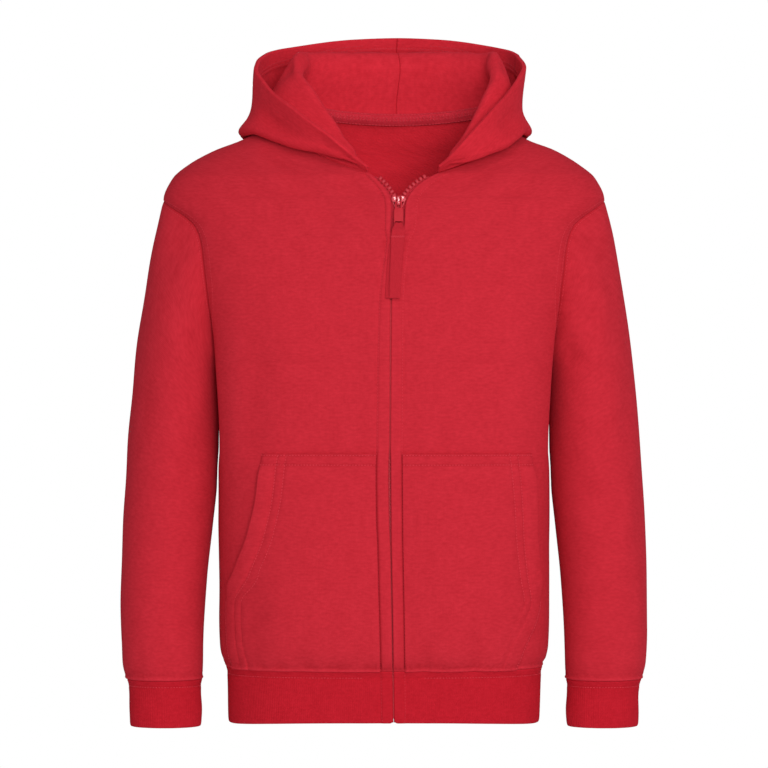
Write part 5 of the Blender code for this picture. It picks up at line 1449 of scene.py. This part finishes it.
# creases of the hood: place along the neck and share of the way to the edge, with depth; positive
# draws the outer face in, and so swells the inner one
hoodCreases = {
    1: [
        ((0.03, 0.05), (0.42, 0.8, 0.0006), (0.36, 0.84, 0.0013), (0.3, 0.88, 0.0003)),
        ((0.022, 0.05), (0.74, 0.2, -0.0012), (0.66, 0.13, -0.0024), (0.6, 0.06, -0.0012)),
        ((0.018, 0.05), (0.66, 0.24, 0.0006), (0.58, 0.16, 0.0012)),
        ((0.01, 0.12), (0.66, 0.92, 0.0006), (0.66, 0.8, 0.0016)),
        ((0.009, 0.12), (0.61, 0.92, 0.0006), (0.61, 0.8, 0.0018)),
        ((0.009, 0.12), (0.635, 0.92, -0.0004), (0.635, 0.8, -0.0012)),
        ((0.012, 0.14), (0.72, 0.93, 0.0004), (0.72, 0.8, 0.0012)),
        ((0.03, 0.04), (0.55, 0.26, -0.0018), (0.49, 0.22, -0.0014), (0.44, 0.17, -0.0004)),
        ((0.05, 0.05), (1.0, 0.55, 0.001), (0.86, 0.58, 0.0022), (0.74, 0.55, 0.0008)),
        ((0.04, 0.05), (0.95, 0.72, 0.0008), (0.8, 0.76, 0.0018), (0.68, 0.72, 0.0004)),
    ],
    -1: [
        ((0.028, 0.05), (0.47, 0.86, 0.0006), (0.42, 0.8, 0.0018), (0.33, 0.78, 0.0008)),
        ((0.02, 0.05), (0.33, 0.9, -0.0004), (0.24, 0.84, -0.001)),
        ((0.02, 0.04), (0.56, 0.27, -0.0024), (0.51, 0.22, -0.002), (0.46, 0.18, -0.0005)),
        ((0.02, 0.06), (0.5, 0.36, 0.0004), (0.46, 0.4, 0.0016), (0.4, 0.4, 0.0004)),
        ((0.02, 0.05), (0.72, 0.18, -0.0004), (0.66, 0.12, -0.0012)),
        ((0.05, 0.05), (1.0, 0.55, 0.001), (0.88, 0.6, 0.002), (0.74, 0.56, 0.0008)),
        ((0.04, 0.05), (0.92, 0.7, 0.0006), (0.8, 0.74, 0.0018), (0.66, 0.7, 0.0004)),
        ((0.012, 0.14), (0.7, 0.93, 0.0003), (0.7, 0.82, 0.0009)),
    ],
}


def smoothPath(controls, spans):
    # a curve through the control points, with a number of steps for each span
    controls = np.array(controls)
    padded = np.vstack([2 * controls[0] - controls[1], controls, 2 * controls[-1] - controls[-2]])
    knots = np.concatenate([[0], np.cumsum(np.linalg.norm(np.diff(padded, axis=0), axis=1) ** 0.5)])
    path = []
    for i, steps in enumerate(spans, start=1):
        p, k = padded[i - 1:i + 3], knots[i - 1:i + 3]
        for t in np.linspace(k[1], k[2], steps, endpoint=False):
            a = [((k[j + 1] - t) * p[j] + (t - k[j]) * p[j + 1]) / (k[j + 1] - k[j]) for j in range(3)]
            b = [((k[j + 2] - t) * a[j] + (t - k[j]) * a[j + 1]) / (k[j + 2] - k[j]) for j in range(2)]
            path.append(((k[2] - t) * b[0] + (t - k[1]) * b[1]) / (k[2] - k[1]))
    path.append(controls[-1])
    return np.array(path)


def hoodProfile(side, neck, along):
    # the middle of the hood's wall from the neck seam to its edge, at one place round
    look = hoodLook

    def place(table):
        x, y, z, shift = (table.at(along, name) for name in ("x", "y", "z", "shift"))
        return np.array([side * x + shift, y, z])

    crest, fold, edge = place(hoodCrest), place(hoodFold), place(hoodEdge)
    out = unit((fold - crest) * (1, 1, 0)) * look["bendSquash"]
    up = np.array([0.0, 0.0, 1.0])
    roll, turn = hoodCrest.at(along, "roll"), hoodFold.at(along, "turn")
    stand = look["stand"] * max(crest[2] - roll - neck[2], look["leastStand"])
    controls = [
        neck + up * look["start"], neck + up * (look["start"] + stand),
        crest - (out + up) * roll, crest, crest + (out - up) * roll,
        fold - (out - up) * turn, fold, fold + (out + up) * turn,
        fold + (edge - fold) * look["waist"] - out * hoodFold.at(along, "pinch"), edge,
    ]
    folded = smoothPath(controls, look["spans"])
    straight = controls[0] + (edge - controls[0]) * np.linspace(0, 1, len(folded))[:, None]
    return straight + (folded - straight) * (1 - ease(along, 0.0, look["corner"]))


def neckSeam(side):
    # up the front panel's neck edge, over the shoulder and half-way along the back's top edge
    front = (frontLeft if side > 0 else frontRight).seamPath
    first = int(np.argmax(front[:, 0, 2] >= cut["frontNeck"] - 1e-6))
    top = back.seamPath[-1]
    middle = readAt(0.5, np.linspace(0, 1, len(top)), top)
    half = top[1:len(top) // 2] if side > 0 else top[-2:-len(top) // 2:-1]
    return np.concatenate([front[first:, 0], front[-1, -1:], half, middle[None]])


rimSteps = np.array([0, 0.0003, 0.0008, 0.0014, 0.0022, 0.0034, 0.006])
hemSteps = np.array([-0.005, -0.0034, -0.0026, -0.0018, -0.0008, 0.0, 0.0008, 0.002])


def hoodCloth(side):
    seam = neckSeam(side)
    lengths = runLengths(seam)
    shares = np.concatenate([[0, 0.001, 0.0025, 0.0045, 0.008], np.linspace(0.014, 0.99, 122),
                             [0.993, 0.9955, 0.9972, 0.9987, 1.0]])
    necks = readAt(shares * lengths[-1], lengths, seam)
    profiles = []
    for neck, along in zip(necks, shares):
        profile = hoodProfile(side, neck, along)
        reach = runLengths(profile)
        hem = float(hoodHem.at(along, "width"))
        total = reach[-1]
        near = np.minimum(edgeSteps, total * np.linspace(0, 0.05, len(edgeSteps)))
        # close together at the edge and at the hem's stitching
        last = np.sort(np.concatenate([rimSteps, hem + hemSteps])) * min(1.0, total * 0.25 / hem)
        middle = np.linspace(near[-1], total - last[-1], 96)[1:-1]
        where = np.concatenate([near, middle, total - last[::-1]])
        profiles.append(readAt(where, reach, profile))
    grid = np.array(profiles).swapaxes(0, 1)
    normals = gridNormals(grid) * side
    normals[:, -1] = unit(np.cross([1.0, 0.0, 0.0], np.gradient(grid[:, -1], axis=0)) * -1)
    for j, weight in ((-2, 0.8), (-3, 0.6), (-4, 0.4), (-5, 0.2)):
        normals[:, j] = unit(normals[:, j] * (1 - weight) + normals[:, -1] * weight)
    thickness = cut["hoodFleece"] * (1 - hoodLook["cornerThinning"] * ease(shares, 0.0, hoodLook["corner"]))
    thickness = np.broadcast_to(thickness[None], grid.shape[:2]).copy()
    cloth = Cloth(grid + normals * thickness[..., None] / 2, normals)
    cloth.shares = np.broadcast_to(shares[None], grid.shape[:2])
    return cloth, thickness


def makeHood(name, side):
    look = hoodLook
    cloth, thickness = hoodCloth(side)
    along, up = cloth.shares, cloth.fromBottom / cloth.fromBottom[-1:]
    calm = np.clip(cloth.fromBottom / 0.02, 0, 1) * np.clip(along / 0.15, 0, 1) * np.clip((1 - along) / 0.05, 0, 1)
    uneven = look["unevenness"] * ripple(along * 0.35, cloth.fromBottom, 101 + side, look["unevenSize"])
    crease(cloth, calm * uneven, calm * drawnIn(along, up, hoodCreases[side], eased=False))
    hem = hoodHem.at(along, "width") * np.minimum(1, cloth.fromBottom[-1:] * 0.25 / hoodHem.at(along, "width"))
    doubled = ease(cloth.fromTop, hem + 0.0004, hem + 0.0014)
    dip = bell(cloth.fromTop - hem + look["hemRow"], 0.0012)
    cloth.push(-0.0002 * dip)
    # a thinner, lower line down the centre seam, with painted shade along it
    centre = bell(cloth.fromLast, 0.0012)
    thickness = thickness + look["hemThick"] * doubled - 0.0006 * dip - 0.0003 * centre
    cloth.push(-0.0002 * centre, -0.2 * centre)
    piece = makeCloth("cloth_" + name, cloth, thickness, [hoodFace, hoodLining], rounding=0.42)
    finishCloth(piece, name)
    inside = Cloth(cloth.points - cloth.normals * thickness[..., None], -cloth.normals)
    inside.fromTop = cloth.fromTop
    width = hem[-1]
    rows = [inside.line(width - look["hemRow"], "top", (0.1, 1.0)),
            inside.line(width - look["secondRow"], "top", (0.3, 0.9))]
    sew("stitches_" + name, [(path, facing, 0.25) for path, facing in rows], "hood_fleece",
        length=0.0023, width=0.0008)


makeHood("hood_left", 1)
makeHood("hood_right", -1)
print("hood made")

neckTapeLook = dict(reach=0.0055, thick=0.001, columns=150, swell=0.0005, unevenness=0.0003, unevenSize=0.02,
                    edgeRow=0.0016, zigzagRows=(0.0048, 0.0072))


def makeNeckTape():
    # a band over the neck seam inside the back of the neck, between the shoulder seams
    look = neckTapeLook
    top, below = back.seamPath[-1], back.seamPath[-5]
    normals = back.seamNormals[-1]
    halves = []
    for side in (1, -1):
        seam = neckSeam(side)
        lengths = runLengths(seam)
        first = len(seam) - len(top) // 2 - 1
        count = look["columns"] // 2
        where = np.linspace(lengths[first + 1], lengths[-1], count)
        order = np.linspace(0.0, 0.5, count) if side > 0 else np.linspace(1.0, 0.5, count)
        source = np.linspace(0, 1, len(top))
        rows = []
        for length, place in zip(where, order):
            point, lower, normal = (readAt(place, source, values) for values in (top, below, normals))
            normal, down = unit(normal), unit(lower - point)
            profile = hoodProfile(side, point, length / lengths[-1])
            up = unit(profile[6] - profile[0])
            hoodOut = unit(np.cross(up, np.cross(normal, up)))
            lower = point + down * look["reach"] - normal * (cut["fleece"] + cut["seam"])
            bend = unit(normal + hoodOut)
            centre = point - bend * (cut["fleece"] + 2 * cut["seam"])
            upper = point + up * look["reach"] - hoodOut * (cut["hoodFleece"] / 2 + cut["seam"])
            rows.append([lower, centre, upper])
        halves.append(np.array(rows).swapaxes(0, 1))
    corners = np.concatenate([halves[0], halves[1][:, -2::-1]], axis=1)
    shares = np.array([0, 0.03, 0.07, 0.12, 0.2, 0.3, 0.4, 0.5, 0.6, 0.7, 0.8, 0.88, 0.93, 0.97, 1.0])[:, None, None]
    grid = (1 - shares) * (1 - 2 * shares) * corners[0] + 4 * shares * (1 - shares) * corners[1] \
        + shares * (2 * shares - 1) * corners[2]
    cloth = Cloth(grid, gridNormals(grid))
    across = shares[..., 0]
    uneven = look["unevenness"] * ripple(grid[..., 0] * 2, grid[..., 2], 111, look["unevenSize"])
    cloth.push(uneven - look["swell"] * np.sin(math.pi * across))
    piece = makeCloth("cloth_neck_tape", cloth, look["thick"], [neckTapeCloth, neckTapeCloth], rounding=0.45)
    finishCloth(piece, "neck_tape")
    inside = Cloth(cloth.points - cloth.normals * look["thick"], -cloth.normals)
    straight = [inside.line(look["edgeRow"], edge, (0.01, 0.99)) for edge in ("top", "bottom")]
    zigzag = [(*inside.line(distance, "top", (0.01, 0.99)), 1.5) for distance in look["zigzagRows"]]
    sew("stitches_neck_tape", straight + zigzag, "neck_tape", pitch=0.003, length=0.0032, width=0.0012, height=0.0012)


makeNeckTape()
print("neck tape made")

zipLook = dict(
    tapeThick=0.0009, unevenness=0.00015, unevenSize=0.03, bead=0.0024,
    toothPitch=0.0039, toothLength=0.003, toothWidth=0.0046, toothHeight=0.0034, toothAt=0.001, closedLift=0.0012,
    toothLift=0.0003, firstTooth=0.003, lastTooth=0.001, closedBelow=-0.105, openAbove=-0.095,
    top=-0.0445,
)


def zipTapeCloth(side):
    # one side's tape with the cord along its inner edge, behind the front panel's edge
    look = zipLook
    heights = np.concatenate([np.linspace(cut["hem"] + 0.0006, -0.13, 90),
                              np.linspace(-0.13, -0.076, 30)[1:], np.linspace(-0.076, look["top"], 36)[1:]])
    across = np.concatenate([np.linspace(0, look["bead"], 9), [0.0026, 0.0029, 0.0034, 0.0042, 0.0052, 0.0064, 0.0078,
                                                              0.0092, 0.0106, 0.0116, 0.0123, 0.0127, 0.013]])
    bulge = np.sqrt(np.clip(1 - (2 * across / look["bead"] - 1) ** 2, 0, 1))
    half = np.maximum(look["tapeThick"] / 2, bulge * look["bead"] / 2)
    middle = cut["ribKnit"] + cut["seam"] + look["bead"] / 2
    rows = []
    for z in heights:
        level, _, _ = frontLevel(z, side)
        rows.append(level.turnAt(float(zipLine.at(z, "tapeGap")) + across))
    turns = np.array(rows)
    z = np.broadcast_to(heights[:, None], turns.shape)
    normals = sideways(bodyNormal(turns, z))
    points = bodyPoint(turns, z) + normals * (half - middle)[None, :, None]
    cloth = Cloth(points, normals)
    cloth.heights = heights
    return cloth, 2 * half[None]


def makeTape(name, side):
    look = zipLook
    cloth, thickness = zipTapeCloth(side)
    x, z = cloth.points[..., 0], cloth.points[..., 2]
    cloth.push(look["unevenness"] * ripple(x, z, 121 + side, look["unevenSize"]))
    piece = makeCloth("cloth_" + name, cloth, thickness, [tapeCloth, tapeCloth], rounding=0.4)
    finishCloth(piece, name)
    # the teeth, gripped on the cord and standing a little past it, turn about with the other side's
    path, facing = cloth.points[:, 4], cloth.normals[:, 4]
    offset = look["toothPitch"] / 2 if side > 0 else 0.0
    points, along, out = evenly(path, facing, look["toothPitch"], look["firstTooth"] + offset, look["lastTooth"])
    toOther = unit(np.cross(out, along)) * side
    middle = look["bead"] / 2
    closed = ease(points[:, 2], look["closedBelow"], look["openAbove"])[:, None]
    points = points + toOther * look["toothAt"] - out * (middle - look["toothLift"] - look["closedLift"] * closed)
    teeth = placeRow("teeth_" + name, points, along, out, toothTree, {
        "Length": look["toothLength"], "Width": look["toothWidth"], "Height": look["toothHeight"],
        "Unevenness": 0.02, "Seed": 5, "Material": toothResin})
    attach(teeth, "garment")


makeTape("zip_tape_left", 1)
makeTape("zip_tape_right", -1)

# the slider's own frame: x across, y up along the zip, z out of the cloth
sliderPlace = Matrix((
    (1, 0, 0, 0.0125011), (0, 0.2939344, -0.9558256, -0.070214), (0, 0.9558256, 0.2939344, -0.066), (0, 0, 0, 1),
))
pullPivot = (0.0, -0.0016, 0.00045)
sliderLook = dict(
    shield=[(0.0022, 0.005), (0.0054, 0.0046), (0.006, 0.0034), (0.0059, 0.001), (0.0034, -0.0052)],
    shieldRound=0.0009, topPlate=(-0.0022, -0.0009), bottomPlate=(-0.0069, -0.0057),
    post=[(0.0004, 0.0044), (0.0009, 0.0034), (0.0004, 0.0024)], postHeights=(-0.0063, -0.0012),
    shoulder=[(0.002, 0.0046), (0.0052, 0.0042), (0.0054, 0.0026), (0.005, -0.0006), (0.0022, -0.0012)],
    shoulderHeights=(-0.0012, 0.0005), shoulderRound=0.0006, postRound=0.0003, crownRound=0.0004,
    flange=0.0007, flangeDepth=0.0013, flangeStep=0.0003,
    crown=[(-0.0042, -0.0012), (-0.004, 0.0014), (-0.0026, 0.0026), (0.0026, 0.0026), (0.004, 0.0014),
           (0.0042, -0.0012), (0.003, -0.0012), (0.0029, 0.0009), (0.002, 0.0016), (-0.002, 0.0016),
           (-0.0029, 0.0009), (-0.003, -0.0012)],
    crownHalfWidth=0.0011, bevel=0.00032,
)
linkLook = dict(
    outline=[(0.0029, 0.00065), (0.0031, -0.005), (0.0041, -0.0085), (0.0041, -0.0214)], round=0.0008,
    crownHole=[(0.0016, -0.00065), (0.0016, -0.0052)], tabHole=[(0.0033, -0.0175), (0.0033, -0.02)],
    holeRound=0.0005, holeDepth=0.002, halfThick=0.00062, bevel=0.0003,
)


def rounded(corners, radius, steps=6):
    # an outline with its corners rounded
    corners = [np.array(corner, float) for corner in corners]
    outline = []
    for i, corner in enumerate(corners):
        before, after = unit(corners[i - 1] - corner), unit(corners[(i + 1) % len(corners)] - corner)
        for t in np.linspace(0, 1, steps):
            outline.append(corner + radius * ((1 - t) ** 2 * before + t ** 2 * after))
    return outline


def mirrored(half):
    return half + [(-x, y) for x, y in reversed(half)]


def prism(outline, low, high, order=(0, 1, 2)):
    # an outline pulled out between two heights, as an object
    bm = bmesh.new()
    ends = []
    for height in (low, high):
        ring = []
        for a, b in outline:
            point = (a, b, height)
            ring.append(bm.verts.new([point[k] for k in order]))
        ends.append(ring)
    count = len(outline)
    for i in range(count):
        j = (i + 1) % count
        bm.faces.new([ends[0][i], ends[0][j], ends[1][j], ends[1][i]])
    bm.faces.new(ends[0][::-1])
    bm.faces.new(ends[1])
    bmesh.ops.recalc_face_normals(bm, faces=bm.faces)
    mesh = bpy.data.meshes.new("part")
    bm.to_mesh(mesh)
    bm.free()
    return addObject("part", mesh)


castLook = dict(segments=3, roundFrom=35, sharpFrom=38)      # the last two in degrees


def castPart(name, base, others, operation, bevel, place, material):
    # joins or cuts the blanks, rounds the edges and puts the part in its place
    for other in others:
        modifier = base.modifiers.new("blank", "BOOLEAN")
        modifier.operation, modifier.object, modifier.solver = operation, other, "EXACT"
    softened = base.modifiers.new("softened", "BEVEL")
    softened.width, softened.segments, softened.limit_method = bevel, castLook["segments"], "ANGLE"
    softened.angle_limit = math.radians(castLook["roundFrom"])
    softened.use_clamp_overlap = True
    seen = base.evaluated_get(bpy.context.evaluated_depsgraph_get())
    mesh = bpy.data.meshes.new_from_object(seen)
    for blank in [base] + others:
        bpy.data.objects.remove(blank)
    mesh.name = name
    mesh.transform(place)
    mesh.materials.clear()
    mesh.materials.append(material)
    mesh.shade_smooth()
    mesh.set_sharp_from_angle(angle=math.radians(castLook["sharpFrom"]))
    return addObject(name, mesh)


def makeSlider():
    look = sliderLook
    shield = rounded(mirrored(look["shield"]), look["shieldRound"])
    top = prism(shield, *look["topPlate"])
    post, crown = rounded(mirrored(look["post"]), look["postRound"]), rounded(look["crown"], look["crownRound"], 4)
    others = [prism(shield, *look["bottomPlate"]), prism(post, *look["postHeights"]),
              prism(crown, -look["crownHalfWidth"], look["crownHalfWidth"], (2, 0, 1))]
    low, high = look["topPlate"][0] - look["flangeDepth"], look["topPlate"][1] - look["flangeStep"]
    for side in (1, -1):
        # the flange down each side of the plate, and the raised shoulder beside the crown
        edge = [(side * x, y) for x, y in look["shield"][2:]]
        inner = [(side * (abs(x) - look["flange"]), y) for x, y in edge]
        others.append(prism(edge + inner[::-1], low, high))
        raised = rounded([(side * x, y) for x, y in look["shoulder"]], look["shoulderRound"])
        others.append(prism(raised, *look["shoulderHeights"]))
    piece = castPart("zip_slider_cast", top, others, "UNION", look["bevel"], sliderPlace, redEnamel)
    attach(piece, "garment")
    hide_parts("zip_slider")


def makeLink(place):
    look = linkLook
    base = prism(rounded(mirrored(look["outline"]), look["round"]), -look["halfThick"], look["halfThick"])
    others = [prism(rounded(mirrored(look[hole]), look["holeRound"]), -look["holeDepth"], look["holeDepth"])
              for hole in ("crownHole", "tabHole")]
    piece = castPart("zip_link", base, others, "DIFFERENCE", look["bevel"], place, linkEnamel)
    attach(piece, "zip_pull")
    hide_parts("zip_puller")


# the tab, folded over the link's end bar, in the link's frame. It starts at the lower end of its
# back layer; stand is its height above the cloth, and at the bar above the frame
tabShape = Table("part up stand onCloth across halfWidth", [
    (0, -0.0846, 0.0018, 1, -0.0058, 0.0056), (0.25, -0.064, 0.0018, 1, -0.0048, 0.0056),
    (0.5, -0.044, 0.0018, 1, -0.0032, 0.0056), (0.7, -0.031, 0.0018, 1, -0.0014, 0.005),
    (0.78, -0.0268, 0.002, 1, -0.0016, 0.004), (0.82, -0.024, 0.0001, 0, -0.0015, 0.0027),
    (0.86, -0.0223, -0.0012, 0, -0.0012, 0.0027), (0.9, -0.0205, -0.00155, 0, -0.0007, 0.0028),
    (0.94, -0.0195, -0.0013, 0, -0.0002, 0.0029), (0.98, -0.0191, -0.0005, 0, 0, 0.003),
    (1.02, -0.0191, 0.0005, 0, 0, 0.003), (1.06, -0.0195, 0.0013, 0, 0, 0.003),
    (1.1, -0.0205, 0.00155, 0, 0, 0.0034), (1.14, -0.0227, 0.0018, 0, 0, 0.0046),
    (1.22, -0.0263, 0.0023, 0, -0.0002, 0.0058), (1.3, -0.0305, 0.0033, 1, -0.0006, 0.0058),
    (1.5, -0.044, 0.0034, 1, -0.0014, 0.0054), (1.75, -0.064, 0.0034, 1, -0.0026, 0.005),
    (2, -0.0852, 0.0034, 1, -0.0036, 0.0046),
])
tabLook = dict(thick=0.001, columns=15, edgeHem=0.0016, hemRise=0.00018, crown=0.00025, barTackAt=-0.0319,
               front=1.2)              # where the front layer starts


def makeTab(place):
    look = tabLook
    into = place.inverted()
    zipHeights = np.linspace(-0.16, -0.06, 60)
    under = np.array([into @ Vector(bodyPoint(zipTurn(z), z)) for z in zipHeights])
    # the two layers, and closer rows round the bar
    turn = np.concatenate([np.linspace(0, 0.8, 60), np.linspace(0.8, look["front"], 61)[1:-1],
                           np.linspace(look["front"], 2, 60)])
    knots = tabShape.key
    spine = []
    for part in knots:
        value = {name: float(tabShape.at(part, name)) for name in tabShape.columns}
        lift = np.interp(value["up"], under[:, 1], under[:, 2]) * value["onCloth"]
        spine.append([value["up"], value["stand"] + lift, value["across"], value["halfWidth"]])
    spine = np.array(spine)
    smooth = Table("part up out across halfWidth", [(k, *row) for k, row in zip(knots, spine)])
    up, out, across, halfWidth = (smooth.at(turn, name) for name in ("up", "out", "across", "halfWidth"))
    slope = np.stack([np.gradient(up, turn), np.gradient(out, turn)], axis=-1)
    facing = unit(np.stack([slope[:, 1], -slope[:, 0]], axis=-1))
    shares = np.concatenate([[-1, -0.97, -0.92, -0.85, -0.76, -0.66], np.linspace(-0.5, 0.5, look["columns"]),
                             [0.66, 0.76, 0.85, 0.92, 0.97, 1]])
    x = across[:, None] + shares[None] * halfWidth[:, None]
    ends = np.stack([up, out], axis=-1)[:, None] + facing[:, None] * look["thick"] / 2
    points = np.concatenate([x[..., None], np.broadcast_to(ends, (len(turn), len(shares), 2))], axis=-1)
    normals = np.concatenate([np.zeros((len(turn), len(shares), 1)),
                              np.broadcast_to(facing[:, None], (len(turn), len(shares), 2))], axis=-1)
    turnMatrix = np.array(place.to_3x3())
    points = points @ turnMatrix.T + np.array(place.translation)
    normals = normals @ turnMatrix.T
    cloth = Cloth(points, normals)
    fromSide = np.minimum(cloth.fromFirst, cloth.fromLast)
    hem = ease(fromSide, look["edgeHem"], look["edgeHem"] + 0.0005)
    swell = np.sin(math.pi * (shares[None] + 1) / 2) * (turn[:, None] > look["front"])
    cloth.push(look["hemRise"] * hem + look["crown"] * swell)
    piece = makeCloth("cloth_pull_tab", cloth, look["thick"], [webbing, webbing], rounding=0.42)
    finishCloth(piece, "pull_tab", body="zip_pull")
    # a close zigzag right across, which holds the fold round the bar
    row = int(np.argmin(np.abs(up - look["barTackAt"]) + (turn < look["front"])))
    path, face = cloth.points[row], cloth.normals[row]
    tacks = [(path + (cloth.points[row + 1] - path) * k, face, 1.4) for k in (-0.4, 0.4)]
    sew("stitches_pull_tab", tacks, "pull_tab", "zip_pull", pitch=0.0009, length=0.0016, width=0.0005)


makeSlider()
pullPlace = sliderPlace @ Matrix.Translation(pullPivot)
makeLink(pullPlace)
makeTab(pullPlace)
print("zip made")
